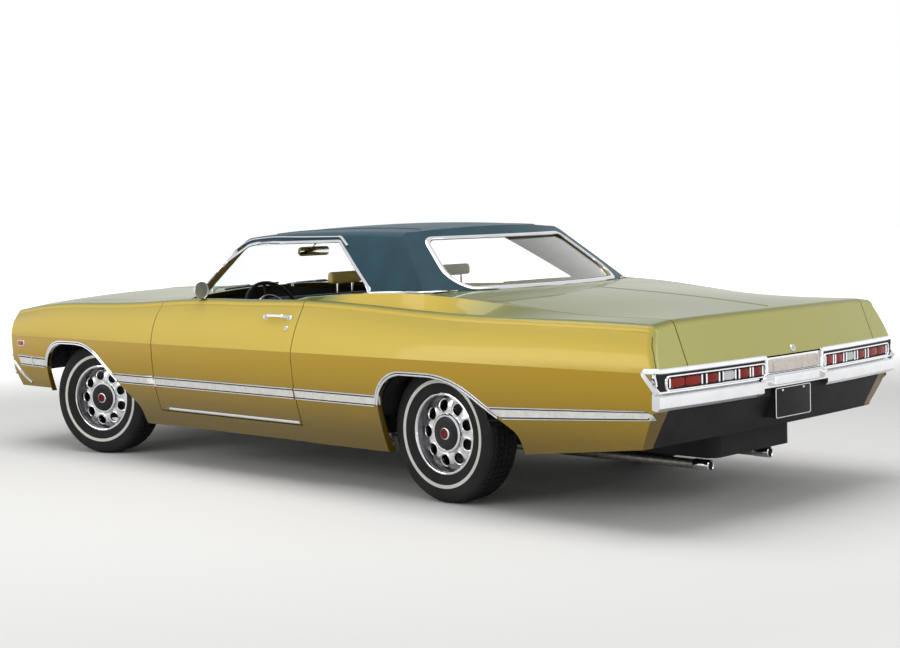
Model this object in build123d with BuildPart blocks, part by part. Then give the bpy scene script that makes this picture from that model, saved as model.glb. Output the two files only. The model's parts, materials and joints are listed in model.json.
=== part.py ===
import os
from math import cos, radians, sin, sqrt

from build123d import *

os.makedirs("parts", exist_ok=True)

# Overall sizes
overall_length = 5608
overall_width = 2014
overall_height = 1395
wheelbase = 3099
front_overhang = 1000
front_track = 1577
rear_track = 1542

# Body heights and panel sizes
sill_height = 235
sill_tuck = 104
rocker_flat = 3
crease_height = 732
belt_height = 1003
lower_bulge = 26
upper_bulge = 12
shoulder_round = 36
skin = 28
seam = 0.4
shut_gap = 6
nose_plan_radius = 2800
tail_plan_radius = 8600
nose_setback = 40
tail_setback = 16
tail_lean = 85
tail_round = 40
lamp_top = 738
lid_half_width = 778
hood_half_width = 792
hood_lip_height = 872
hood_rear_x = 1004
trunk_front_x = -1500
deck_half_width = 700
front_under = 400
rear_under = 400

# Doors
door_front_x = 985
door_rear_x = -300
door_inner = 868
door_bottom = 335
hinge_depth = 47
hinge_heights = (560, 800)
hinge_pin_radius = 9
hinge_pocket = 16
hinge_arm_width = 14
hinge_arm_lean = 12
pin_clearance = 0.3

# Greenhouse
roof_wall = 34
windshield_base_x = 941
windshield_slope = 45
windshield_radius = 2860
windshield_top = 1318
windshield_top_half = 592
windshield_base_half = 775
backlight_x = -1275
backlight_z = 1121
backlight_slope = 33.6
backlight_radius = 2440
backlight_bottom = 1068
backlight_top = 1308
backlight_top_half = 528
backlight_bottom_half = 652
glass_thickness = 6
glass_inset = 9

# Wheels and running gear
tyre_radius = 350
tyre_width = 206
rim_radius = 198
wheel_holes = 9
wheel_hole_radius = 25
wheel_hole_circle = 142
drum_radius = 138
spindle_radius = 18
kingpin_inset = 98
kingpin_radius = 15
rest_steer = 17.3
floor_z = 270
sheet = 14
floor_half = 769
rail_y = 440
apron_y = 484
spring_y = 540
steering_y = 385
column_slope = 24
steering_rim_radius = 198
steering_rim_grip = 12

# Interior and masses under the skin
bench_half = 690
seat_x = 458
seat_height = 560
seat_back_top = 1015
headrest_y = 443
headrest_top = 1155
headrest_height = 100
headrest_width = 270
rear_seat_x = -690
engine_length = 720
engine_width = 590
engine_bottom = 300
engine_top = 800
engine_rear_x = 1240

# Bumpers, lamps and plate
rear_bar_bottom = 572
rear_bar_top = 640
lamp_bottom = 658
lamp_height = 54
lamp_inner = 250
lamp_outer = 886
lamp_dividers = (0.355, 0.53, 0.70, 0.855)
lamp_groove = 24
lamp_groove_depth = 8
front_bar_bottom = 470
front_bar_top = 628
headlamp_radius = 73
headlamp_height = 755
headlamp_rows = (636, 806)
plate_height = 526
plate_hole_spacing = 178
plate_hole_radius = 3.2

half_width = overall_width / 2
nose_x = overall_length / 2
tail_x = -nose_x
front_axle_x = nose_x - front_overhang
rear_axle_x = front_axle_x - wheelbase
body_nose_x = nose_x - nose_setback
body_tail_x = tail_x + tail_setback
nose_axis = Axis((body_nose_x - nose_plan_radius, 0, 0), (0, 0, 1))
tail_axis = Axis((body_tail_x + tail_plan_radius, 0, 0), (0, 0, 1))
hinge_y = half_width - hinge_depth
door_nose_radius = hinge_y - door_inner
hinge_x = door_front_x - door_nose_radius + 5
door_reach = hinge_x - door_rear_x
front_wheel_y = front_track / 2
rear_wheel_y = rear_track / 2
kingpin_y = front_wheel_y - kingpin_inset

# x, crease tuck, shoulder tuck, shoulder drop, edge half width, edge rise, crown rise
body_stations = [
    (nose_x + 60, 52, 112, 135, 800, 14, 34),
    (front_axle_x + 780, 14, 74, 108, 800, 14, 34),
    (front_axle_x + 500, 6, 72, 73, 800, 14, 36),
    (front_axle_x - 180, 3, 80, 46, 800, 12, 38),
    (door_front_x, 0, 90, 22, 800, 10, 38),
    (door_front_x - 785, 0, 98, 5, 800, 8, 34),
    (door_rear_x, 0, 102, 0, 820, 14, 40),
    (rear_axle_x + 129, 2, 92, 35, 856, 76, 16),
    (rear_axle_x - 585, 4, 76, 53, 790, 32, 44),
    (tail_x + 304, 8, 75, 60, 786, 10, 24),
    (tail_x - 60, 22, 84, 74, 780, 2, 4),
]

# x, base half width, rail half width, rail drop, crown drop
roof_stations = [
    (door_front_x + 15, 850, 600, 125, 85),
    (door_front_x - 485, 872, 634, 83, 30),
    (door_front_x - 985, 880, 642, 58, 5),
    (door_rear_x - 100, 884, 642, 57, 0),
    (rear_axle_x + 395, 884, 630, 76, 23),
    (rear_axle_x + 45, 872, 604, 132, 73),
    (rear_axle_x - 305, 842, 564, 205, 155),
]


def bulged(start, end, bulge):
    """Middle point of a shallow arc from start to end, bulging outboard."""
    span_y = end[0] - start[0]
    span_z = end[1] - start[1]
    span = sqrt(span_y ** 2 + span_z ** 2)
    mid_y = (start[0] + end[0]) / 2 + bulge * span_z / span
    mid_z = (start[1] + end[1]) / 2 - bulge * span_y / span
    return (mid_y, mid_z)


def flip(point):
    return (-point[0], point[1])


def lower_body(inset):
    """Solid lower body with its surface moved in by inset."""
    with BuildPart() as long_body:
        for x, crease_tuck, side_tuck, drop, edge_half, edge_rise, crown_rise in body_stations:
            turn = max(shoulder_round - inset, 3)
            top = belt_height - drop - inset
            shoulder = half_width - side_tuck - inset
            sill = (half_width - sill_tuck - crease_tuck - inset, sill_height + inset)
            crease = (half_width - crease_tuck - inset, crease_height)
            low_turn = (shoulder, top - turn)
            mid_turn = (shoulder - turn * 0.293, top - turn * 0.293)
            high_turn = (shoulder - turn, top)
            edge = (edge_half - inset, top + edge_rise)
            low_mid = bulged(sill, crease, lower_bulge)
            high_mid = bulged(crease, low_turn, upper_bulge)
            with BuildSketch(Plane.YZ.offset(x)):
                with BuildLine():
                    Line(flip(sill), sill)
                    ThreePointArc(sill, low_mid, crease)
                    ThreePointArc(crease, high_mid, low_turn)
                    ThreePointArc(low_turn, mid_turn, high_turn)
                    Line(high_turn, edge)
                    ThreePointArc(edge, (0, edge[1] + crown_rise), flip(edge))
                    Line(flip(edge), flip(high_turn))
                    ThreePointArc(flip(high_turn), flip(mid_turn), flip(low_turn))
                    ThreePointArc(flip(low_turn), flip(high_mid), flip(crease))
                    ThreePointArc(flip(crease), flip(low_mid), flip(sill))
                make_face()
        loft()
        add(nose_form(inset), mode=Mode.INTERSECT)
        add(tail_form(inset), mode=Mode.INTERSECT)
    return long_body.part


def nose_form(inset):
    """Turned solid that gives the bowed front face."""
    face = body_nose_x - inset
    axis_x = nose_axis.position.X
    with BuildPart() as nose:
        with BuildSketch(Plane.XZ):
            with BuildLine():
                Polyline(
                    (axis_x, 0),
                    (face - 120, 0),
                    (face - 60, front_under),
                    (face, front_under + 110),
                    (face, hood_lip_height - 20),
                    (face - 24, hood_lip_height + 18),
                    (face - 120, overall_height),
                    (axis_x, overall_height),
                    close=True,
                )
            make_face()
        revolve(axis=nose_axis)
        with Locations((axis_x, 0, 0)):
            Box(
                overall_length, overall_length, overall_height * 2,
                align=(Align.MAX, Align.CENTER, Align.CENTER),
            )
    return nose.part


def tail_form(inset):
    """Turned solid that gives the bowed, forward-leaning rear face."""
    face = body_tail_x + inset
    axis_x = tail_axis.position.X
    deck_z = belt_height - 40
    lean_top = deck_z + 2 * (deck_z - lamp_top)
    with BuildPart() as tail:
        with BuildSketch(Plane.XZ):
            with BuildLine():
                Polyline(
                    (axis_x, 0),
                    (face + 190, 0),
                    (face + 110, rear_under),
                    (face + 26, lamp_top - 180),
                    (face + 26, lamp_top),
                    (face, lamp_top),
                    (face + 3 * tail_lean, lean_top),
                    (axis_x, lean_top),
                    close=True,
                )
            make_face()
        revolve(axis=tail_axis)
    return tail.part


def roof_tunnel(inset):
    with BuildPart() as tunnel:
        for x, base_half, rail_half, rail_drop, crown_drop in roof_stations:
            base = (base_half - inset, belt_height - 60)
            rail = (rail_half - inset * 0.8, overall_height - rail_drop - inset * 0.7)
            lip = (rail_half - 70 - inset * 0.8, overall_height - rail_drop + 26 - inset)
            crown = (0, overall_height - crown_drop - inset)
            side_mid = bulged(base, rail, 10)
            corner_mid = bulged(rail, lip, 9)
            with BuildSketch(Plane.YZ.offset(x)):
                with BuildLine():
                    Line(flip(base), base)
                    ThreePointArc(base, side_mid, rail)
                    ThreePointArc(rail, corner_mid, lip)
                    ThreePointArc(lip, crown, flip(lip))
                    ThreePointArc(flip(lip), flip(corner_mid), flip(rail))
                    ThreePointArc(flip(rail), flip(side_mid), flip(base))
                make_face()
        loft()
    return tunnel.part


def screen_drum(x, z, slope, bow, facing, inset):
    """Leaning cylinder whose skin is a bowed glass; facing is 1 ahead and -1 behind."""
    along = Vector(-facing * cos(radians(slope)), 0, sin(radians(slope)))
    outward = Vector(facing * sin(radians(slope)), 0, cos(radians(slope)))
    centre = Vector(x, 0, z) - outward * bow
    with BuildPart(Plane(origin=centre, x_dir=(0, 1, 0), z_dir=along)) as drum:
        Cylinder(bow - inset, overall_length)
    return drum.part


def windshield_drum(inset):
    return screen_drum(
        windshield_base_x, belt_height, windshield_slope, windshield_radius, 1, inset
    )


def backlight_drum(inset):
    return screen_drum(
        backlight_x, backlight_z, backlight_slope, backlight_radius, -1, inset
    )


def greenhouse(inset):
    with BuildPart() as upper:
        add(roof_tunnel(inset))
        add(windshield_drum(inset), mode=Mode.INTERSECT)
        add(backlight_drum(inset), mode=Mode.INTERSECT)
    return upper.part


def screen_opening(bottom, top, bottom_half, top_half, x_from, x_to, corner, shrink):
    """Prism along X through a screen frame."""
    with BuildPart() as opening:
        with BuildSketch(Plane.YZ.offset(x_from)) as outline:
            with BuildLine():
                Polyline(
                    (-bottom_half + shrink, bottom + shrink),
                    (bottom_half - shrink, bottom + shrink),
                    (top_half - shrink, top - shrink),
                    (-top_half + shrink, top - shrink),
                    close=True,
                )
            make_face()
            fillet(outline.vertices(), corner)
        extrude(amount=x_to - x_from)
    return opening.part


def windshield_opening(shrink):
    return screen_opening(
        belt_height - 60, windshield_top, windshield_base_half, windshield_top_half,
        windshield_base_x - 700, windshield_base_x + 300, 60, shrink,
    )


def backlight_opening(shrink):
    return screen_opening(
        backlight_bottom, backlight_top, backlight_bottom_half, backlight_top_half,
        backlight_x - 500, backlight_x + 600, 70, shrink,
    )


def door_zone(grow):
    """Space of the left door; grow adds the shut gap all round."""
    with BuildPart() as zone:
        with BuildSketch(Plane.XY.offset(door_bottom - grow)):
            with Locations((hinge_x, hinge_y)):
                Circle(door_reach + grow)
            with Locations((hinge_x, hinge_y)):
                Rectangle(
                    door_reach * 4, door_reach * 4, align=(Align.MAX, Align.CENTER),
                    mode=Mode.INTERSECT,
                )
            with Locations((hinge_x, hinge_y)):
                Circle(door_nose_radius + grow)
            with Locations((hinge_x, door_inner - grow)):
                Rectangle(
                    door_reach * 4, half_width, align=(Align.CENTER, Align.MIN),
                    mode=Mode.INTERSECT,
                )
        extrude(amount=overall_height)
    return zone.part


def side_prism(outline, y_from, y_to):
    """Prism along Y from corners in the side view, each with its own rounding."""
    with BuildPart() as prism:
        with BuildSketch(Plane.XZ.offset(-y_to)) as side_view:
            with BuildLine():
                Polyline(*[(x, z) for x, z, rounding in outline], close=True)
            make_face()
            for x, z, rounding in outline:
                if rounding:
                    fillet(side_view.vertices().sort_by_distance((x, z, 0))[0], rounding)
        extrude(amount=y_to - y_from)
    return prism.part


# Side outlines: x, z, corner rounding
arch_top_front = 697
arch_top_rear = 650
front_arch = [
    (front_axle_x + 380, 0, 0),
    (front_axle_x + 368, arch_top_front, 200),
    (front_axle_x - 142, arch_top_front, 400),
    (front_axle_x - 605, 340, 90),
    (front_axle_x - 625, 0, 0),
]
rear_arch = [
    (rear_axle_x + 360, 0, 0),
    (rear_axle_x + 347, arch_top_rear, 198),
    (rear_axle_x - 188, arch_top_rear, 600),
    (rear_axle_x - 600, 402, 90),
    (rear_axle_x - 650, 0, 0),
]
side_window = [
    (door_front_x - 195, belt_height - 55, 0),
    (door_front_x - 228, 1030, 28),
    (door_front_x - 455, 1285, 28),
    (door_front_x - 680, 1310, 28),
    (door_rear_x - 40, 1302, 28),
    (door_rear_x - 445, 1050, 28),
    (door_rear_x - 445, belt_height - 55, 0),
]
underside = [
    (nose_x + 100, -100, 0),
    (nose_x + 100, front_under, 0),
    (front_axle_x + 380, front_under, 0),
    (front_axle_x + 300, sill_height - 60, 0),
    (rear_axle_x - 500, sill_height - 60, 0),
    (rear_axle_x - 560, 300, 0),
    (tail_x - 100, rear_under + 20, 0),
    (tail_x - 100, -100, 0),
]

# Outer form, with the edges of the rear face softened
with BuildPart() as outer_form:
    add(lower_body(0))
    tail_edges = outer_form.edges().filter_by(
        lambda e: e.center().X < body_tail_x + 400 and e.center().Z > lamp_top + 5
    )
    fillet(tail_edges.filter_by(lambda e: abs((e % 0.5).X) < 0.75), tail_round)
hull = outer_form.part
core = lower_body(skin)

# Painted shell that the fixed panels and lids are cut from
with BuildPart() as shell:
    add(hull)
    add(core, mode=Mode.SUBTRACT)
    for outline in (underside, front_arch, rear_arch):
        add(side_prism(outline, -half_width * 2, half_width * 2), mode=Mode.SUBTRACT)


def plan_box(x_from, x_to, y_from, y_to, z_from, z_to):
    with BuildPart() as box:
        with Locations(((x_from + x_to) / 2, (y_from + y_to) / 2, (z_from + z_to) / 2)):
            Box(x_to - x_from, y_to - y_from, z_to - z_from)
    return box.part


far = overall_length
hood_zone = plan_box(hood_rear_x, far, -hood_half_width, hood_half_width, hood_lip_height, far)
hood_hole = plan_box(
    hood_rear_x - shut_gap, far, -hood_half_width - shut_gap, hood_half_width + shut_gap,
    hood_lip_height - shut_gap, far,
)
lid_zone = plan_box(-far, trunk_front_x, -lid_half_width, lid_half_width, lamp_top + 6, far)
lid_hole = plan_box(
    -far, trunk_front_x + shut_gap, -lid_half_width - shut_gap, lid_half_width + shut_gap,
    lamp_top, far,
)
grille_hole = plan_box(
    front_axle_x + 600, far, -half_width + 92, half_width - 92, front_under + 235, hood_lip_height,
)
inner_void = plan_box(-far, far, -half_width + 150, half_width - 150, -far, crease_height - 5)
cabin_hole = plan_box(
    backlight_x + 60, hood_rear_x - shut_gap, -hood_half_width, hood_half_width, belt_height - 90, far
)

# Hood and trunk lid
with BuildPart() as hood:
    add(shell.part)
    add(hood_zone, mode=Mode.INTERSECT)
hood.part.label = "hood"
export_step(hood.part, "parts/hood.step")

with BuildPart() as trunk_lid:
    add(shell.part)
    add(lid_zone, mode=Mode.INTERSECT)
trunk_lid.part.label = "trunk_lid"
export_step(trunk_lid.part, "parts/trunk_lid.step")

# Fenders, quarters, rockers and doors: the left one is built, the right one mirrored
cowl_half = door_inner - shut_gap
with BuildPart() as fender_left:
    add(shell.part)
    add(plan_box(door_front_x - 300, far, 0, far, -far, far), mode=Mode.INTERSECT)
    add(hood_hole, mode=Mode.SUBTRACT)
    add(grille_hole, mode=Mode.SUBTRACT)
    add(inner_void, mode=Mode.SUBTRACT)
    add(door_zone(shut_gap), mode=Mode.SUBTRACT)
    add(plan_box(-far, door_front_x, 0, far, -far, door_bottom), mode=Mode.SUBTRACT)
    add(plan_box(-far, hood_rear_x, 0, cowl_half + seam, -far, far), mode=Mode.SUBTRACT)
    add(
        plan_box(front_axle_x + 600, far, 0, half_width - 92, -far, front_under + 240),
        mode=Mode.SUBTRACT,
    )

with BuildPart() as quarter_left:
    add(shell.part)
    add(plan_box(-far, door_rear_x + 100, 0, far, -far, far), mode=Mode.INTERSECT)
    add(lid_hole, mode=Mode.SUBTRACT)
    add(inner_void, mode=Mode.SUBTRACT)
    add(door_zone(shut_gap), mode=Mode.SUBTRACT)
    add(plan_box(door_rear_x - 3, far, 0, far, -far, door_bottom), mode=Mode.SUBTRACT)
    add(cabin_hole, mode=Mode.SUBTRACT)
    add(plan_box(-far, trunk_front_x + 200, 0, half_width - 120, -far, lamp_top), mode=Mode.SUBTRACT)
    add(plan_box(trunk_front_x - 5, far, 0, deck_half_width, -far, far), mode=Mode.SUBTRACT)

with BuildPart() as rocker_left:
    add(hull)
    add(
        plan_box(
            door_rear_x - 3 + seam, door_front_x - seam, floor_half + seam, far,
            sill_height + rocker_flat, door_bottom - shut_gap,
        ),
        mode=Mode.INTERSECT,
    )

pocket_turns = (-112, -80, -50, -20, 8)
with BuildPart() as door_left:
    add(hull)
    add(door_zone(0), mode=Mode.INTERSECT)
    for height in hinge_heights:
        with BuildSketch(Plane.XY.offset(height - hinge_pocket)):
            with BuildLine():
                Polyline(
                    (hinge_x, hinge_y),
                    *[
                        (
                            hinge_x + 1.6 * door_nose_radius * cos(radians(turn)),
                            hinge_y + 1.6 * door_nose_radius * sin(radians(turn)),
                        )
                        for turn in pocket_turns
                    ],
                    close=True,
                )
            make_face()
            with Locations((hinge_x, hinge_y)):
                Circle(hinge_pocket + 4)
        extrude(amount=hinge_pocket * 2, mode=Mode.SUBTRACT)
        with Locations((hinge_x, hinge_y, height)):
            Cylinder(hinge_pin_radius + pin_clearance, hinge_pocket * 4, mode=Mode.SUBTRACT)

for label, piece in (
    ("fender", fender_left), ("quarter", quarter_left), ("door", door_left),
):
    piece.part.label = label + "_left"
    export_step(piece.part, "parts/" + label + "_left.step")
    twin = mirror(piece.part, about=Plane.XZ)
    twin.label = label + "_right"
    export_step(twin, "parts/" + label + "_right.step")

with BuildPart() as rocker_panels:
    add(rocker_left.part)
    mirror(about=Plane.XZ)
rocker_panels.part.label = "rocker_panels"
export_step(rocker_panels.part, "parts/rocker_panels.step")

# Fixed top panels and the lower rear panel
with BuildPart() as cowl_panel:
    add(shell.part)
    add(
        plan_box(
            door_front_x - 280, hood_rear_x - shut_gap, -cowl_half, cowl_half, belt_height - 90, far,
        ),
        mode=Mode.INTERSECT,
    )
    add(windshield_drum(seam), mode=Mode.SUBTRACT)
    add(door_zone(shut_gap), mode=Mode.SUBTRACT)
cowl_panel.part.label = "cowl_panel"
export_step(cowl_panel.part, "parts/cowl_panel.step")

with BuildPart() as rear_deck:
    add(shell.part)
    add(
        plan_box(
            trunk_front_x + shut_gap, backlight_x + 400, -deck_half_width + seam,
            deck_half_width - seam, belt_height - 90, far,
        ),
        mode=Mode.INTERSECT,
    )
    add(backlight_drum(seam + roof_wall), mode=Mode.SUBTRACT)
rear_deck.part.label = "rear_deck"
export_step(rear_deck.part, "parts/rear_deck.step")

with BuildPart() as tail_panel:
    add(shell.part)
    add(
        plan_box(
            -far, tail_x + 500, -half_width + 120 + seam, half_width - 120 - seam, 0, lamp_top - seam,
        ),
        mode=Mode.INTERSECT,
    )
    with Locations((body_tail_x + 53, 0, plate_height - 6)):
        Box(70, 300, 140)
    for side in (-1, 1):
        with Locations((body_tail_x + 18, side * plate_hole_spacing / 2, plate_height + 48)):
            Cylinder(plate_hole_radius, 60, rotation=(0, 90, 0), mode=Mode.SUBTRACT)
tail_panel.part.label = "tail_panel"
export_step(tail_panel.part, "parts/tail_panel.step")

# Roof with its pillars, and the two bonded screens
with BuildPart() as roof:
    add(greenhouse(0))
    add(greenhouse(roof_wall), mode=Mode.SUBTRACT)
    add(side_prism(side_window, -half_width, half_width), mode=Mode.SUBTRACT)
    add(windshield_opening(0), mode=Mode.SUBTRACT)
    add(backlight_opening(0), mode=Mode.SUBTRACT)
    add(lower_body(-seam), mode=Mode.SUBTRACT)
roof.part.label = "roof"
export_step(roof.part, "parts/roof.step")

for label, drum, opening in (
    ("windshield", windshield_drum, windshield_opening),
    ("rear_window", backlight_drum, backlight_opening),
):
    with BuildPart() as screen:
        add(drum(glass_inset))
        add(drum(glass_inset + glass_thickness), mode=Mode.SUBTRACT)
        add(opening(pin_clearance), mode=Mode.INTERSECT)
        add(lower_body(-seam), mode=Mode.SUBTRACT)
    screen.part.label = label
    export_step(screen.part, "parts/" + label + ".step")


# Unibody floor, walls, wheelhouses and hinge posts
firewall_x = door_front_x - 45
kickup_x = door_rear_x - 260
bulkhead_x = rear_axle_x + 31
rear_floor_z = floor_z + 220
trunk_floor_z = floor_z + 220
diff_radius = 118
tunnel_rear_x = rear_axle_x + diff_radius + 42
tunnel_half = 165
tunnel_top = floor_z + 160
house_radius = tyre_radius + 50
support_x = front_axle_x + 550
inside = lower_body(skin + seam)

with BuildPart() as floor_pan:
    add(plan_box(kickup_x, firewall_x, -floor_half, floor_half, floor_z - sheet, floor_z))
    add(plan_box(kickup_x - sheet, kickup_x, -floor_half, floor_half, floor_z - sheet, rear_floor_z))
    add(plan_box(rear_axle_x + 435, kickup_x, -floor_half, floor_half, rear_floor_z - sheet, rear_floor_z))
    add(plan_box(bulkhead_x, rear_axle_x + 435, -606, 606, rear_floor_z - sheet, rear_floor_z))
    add(plan_box(firewall_x, firewall_x + sheet, -floor_half, floor_half, floor_z - sheet, belt_height))
    add(plan_box(bulkhead_x - sheet, bulkhead_x, -606, 606, rear_floor_z - sheet, belt_height))
    add(plan_box(bulkhead_x - 190, bulkhead_x, -606, 606, belt_height - 24, belt_height - 10))
    add(plan_box(tail_x + 190, bulkhead_x, -606, 606, trunk_floor_z - sheet, trunk_floor_z))
    for side in (-1, 1):
        with Locations((rear_axle_x, side * (rear_wheel_y - 1), tyre_radius)):
            Cylinder(house_radius, tyre_width + 134, rotation=(90, 0, 0))
    add(plan_box(tunnel_rear_x, firewall_x + sheet, -tunnel_half, tunnel_half, floor_z - sheet, tunnel_top))
    add(
        plan_box(
            tunnel_rear_x - 1, firewall_x + sheet, -tunnel_half + sheet, tunnel_half - sheet,
            -far, tunnel_top - sheet,
        ),
        mode=Mode.SUBTRACT,
    )
    for side in (-1, 1):
        with Locations((rear_axle_x, side * (rear_wheel_y + sheet), tyre_radius)):
            Cylinder(
                house_radius - sheet, tyre_width + 134, rotation=(90, 0, 0), mode=Mode.SUBTRACT
            )
        low = sorted((side * 585, side * far))
        add(
            plan_box(
                rear_axle_x - 500, rear_axle_x + 431, low[0], low[1], -far, tyre_radius + 70
            ),
            mode=Mode.SUBTRACT,
        )
        wall = sorted((side * (apron_y - sheet), side * apron_y))
        add(plan_box(firewall_x, support_x, wall[0], wall[1], tyre_radius + 70, belt_height - 100))
        post = sorted((side * (floor_half - 2), side * (cowl_half - 3)))
        add(plan_box(hinge_x, firewall_x + 20, post[0], post[1], door_bottom - shut_gap + seam, belt_height))
    add(inside, mode=Mode.INTERSECT)
    lean_in = radians(hinge_arm_lean)
    reach = (hinge_y - cowl_half + hinge_arm_width) / cos(lean_in)
    for side in (-1, 1):
        for height in hinge_heights:
            middle_x = hinge_x + reach / 2 * sin(lean_in)
            middle_y = hinge_y - reach / 2 * cos(lean_in)
            with Locations((middle_x, side * middle_y, height)):
                Box(hinge_arm_width, reach, hinge_pocket * 2 - 4, rotation=(0, 0, side * hinge_arm_lean))
            with Locations((hinge_x, side * hinge_y, height)):
                Cylinder(hinge_pocket - 2, hinge_pocket * 2 - 4)
                Cylinder(hinge_pin_radius, hinge_pocket * 4 - 4)
floor_pan.part.label = "floor_pan"
export_step(floor_pan.part, "parts/floor_pan.step")

# Front rails, crossmember and arms
arm_low = 205
arm_high = 478
arm_thick = 20
with BuildPart() as front_subframe:
    for side in (-1, 1):
        rail = sorted((side * (rail_y - 34), side * (apron_y - sheet - seam)))
        add(plan_box(firewall_x + 60, support_x + 330, rail[0], rail[1], 330, tyre_radius + 70 - seam))
        add(plan_box(support_x + 100, far / 2, rail[0], rail[1], 350, 590))
    add(nose_form(0.2), mode=Mode.INTERSECT)
    add(plan_box(front_axle_x - 64, front_axle_x + 64, -rail_y, rail_y, 200, engine_bottom))
    for side in (-1, 1):
        hang = sorted((side * (rail_y - 34), side * rail_y))
        add(plan_box(front_axle_x - 64, front_axle_x + 64, hang[0], hang[1], 200, 340))
        low = sorted((side * (rail_y - 10), side * kingpin_y))
        add(plan_box(front_axle_x - 26, front_axle_x + 26, low[0], low[1], arm_low, arm_low + arm_thick))
        high = sorted((side * (apron_y + seam), side * kingpin_y))
        add(plan_box(front_axle_x - 22, front_axle_x + 22, high[0], high[1], arm_high, arm_high + arm_thick))
        for level in (arm_low, arm_high):
            with Locations((front_axle_x, side * kingpin_y, level + arm_thick / 2)):
                Cylinder(30, arm_thick)
            with Locations((front_axle_x, side * kingpin_y, level + arm_thick / 2)):
                Cylinder(kingpin_radius + pin_clearance, arm_thick * 2, mode=Mode.SUBTRACT)
front_subframe.part.label = "front_subframe"
export_step(front_subframe.part, "parts/front_subframe.step")

with BuildPart() as engine:
    with BuildSketch(Plane.YZ.offset(engine_rear_x)):
        with BuildLine():
            Polyline(
                (-engine_width * 0.25, engine_bottom),
                (engine_width * 0.25, engine_bottom),
                (engine_width * 0.3, engine_bottom + 180),
                (engine_width * 0.5, engine_top - 170),
                (engine_width * 0.4, engine_top - 30),
                (engine_width * 0.2, engine_top),
                (-engine_width * 0.2, engine_top),
                (-engine_width * 0.4, engine_top - 30),
                (-engine_width * 0.5, engine_top - 170),
                (-engine_width * 0.3, engine_bottom + 180),
                close=True,
            )
        make_face()
    extrude(amount=engine_length)
    with Locations((engine_rear_x + engine_length / 2, 0, engine_top + 40)):
        Cylinder(190, 80)
engine.part.label = "engine"
export_step(engine.part, "parts/engine.step")

shaft_z = tyre_radius - 15
gearbox_radius = 98
with BuildPart() as driveline:
    with Locations((engine_rear_x - seam, 0, shaft_z - 25)):
        Cylinder(gearbox_radius, 600, rotation=(0, -90, 0), align=(Align.CENTER, Align.CENTER, Align.MIN))
    with Locations((engine_rear_x - 500, 0, shaft_z)):
        Cylinder(
            38, engine_rear_x - 500 - (rear_axle_x + diff_radius + 0.2), rotation=(0, -90, 0),
            align=(Align.CENTER, Align.CENTER, Align.MIN),
        )
driveline.part.label = "driveline"
export_step(driveline.part, "parts/driveline.step")

with BuildPart() as radiator:
    add(plan_box(support_x - 50, support_x - 2, -330, 330, 420, 840))
    add(plan_box(support_x - 2, support_x + 12, -apron_y + sheet, apron_y - sheet, 420 + seam, 870))
    add(plan_box(support_x - 3, support_x + 13, -300, 300, 450, 810), mode=Mode.SUBTRACT)
    add(plan_box(support_x - 50, support_x - 2, -330, 330, 420, 840))
    for side in (-1, 1):
        with Locations((support_x + 5, side * 400, 930)):
            Cylinder(14, 130)
    add(inside, mode=Mode.INTERSECT)
radiator.part.label = "radiator"
export_step(radiator.part, "parts/radiator.step")

# Rear axle, springs, tank and exhaust
with BuildPart() as rear_axle:
    with Locations((rear_axle_x, 0, tyre_radius)):
        Cylinder(40, 2 * rear_wheel_y - 142, rotation=(90, 0, 0))
        Cylinder(spindle_radius, 2 * rear_wheel_y + 80, rotation=(90, 0, 0))
        Sphere(diff_radius)
    for side in (-1, 1):
        with Locations((rear_axle_x, side * (rear_wheel_y - 67), tyre_radius)):
            Cylinder(drum_radius - 8, 8, rotation=(90, 0, 0))
rear_axle.part.label = "rear_axle"
export_step(rear_axle.part, "parts/rear_axle.step")

spring_top = tyre_radius - 40 - seam
spring_front = (rear_axle_x + 655, spring_top + 50)
spring_rear = (rear_axle_x - 665, spring_top + 70)
with BuildPart() as leaf_springs:
    for side in (-1, 1):
        with BuildSketch(Plane.XZ.offset(-side * spring_y)):
            with BuildLine():
                ThreePointArc(spring_front, (rear_axle_x, spring_top), spring_rear)
                Line(spring_rear, (spring_rear[0], spring_rear[1] - 24))
                ThreePointArc(
                    (spring_rear[0], spring_rear[1] - 24), (rear_axle_x, spring_top - 26),
                    (spring_front[0], spring_front[1] - 24),
                )
                Line((spring_front[0], spring_front[1] - 24), spring_front)
            make_face()
        extrude(amount=32, both=True)
        edge = sorted((side * (spring_y - 32), side * (spring_y + 32)))
        add(
            plan_box(
                spring_front[0] - 1, spring_front[0] + 40, edge[0], edge[1],
                spring_front[1] - 24, rear_floor_z - sheet - seam,
            )
        )
        add(
            plan_box(
                spring_rear[0] - 40, spring_rear[0] + 1, edge[0], edge[1],
                spring_rear[1] - 24, trunk_floor_z - sheet - seam,
            )
        )
leaf_springs.part.label = "leaf_springs"
export_step(leaf_springs.part, "parts/leaf_springs.step")

with BuildPart() as fuel_tank:
    add(plan_box(tail_x + 250, tail_x + 740, -330, 330, 262, trunk_floor_z - sheet - seam))
    fillet(fuel_tank.edges().filter_by(Axis.Z), 60)
fuel_tank.part.label = "fuel_tank"
export_step(fuel_tank.part, "parts/fuel_tank.step")

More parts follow.
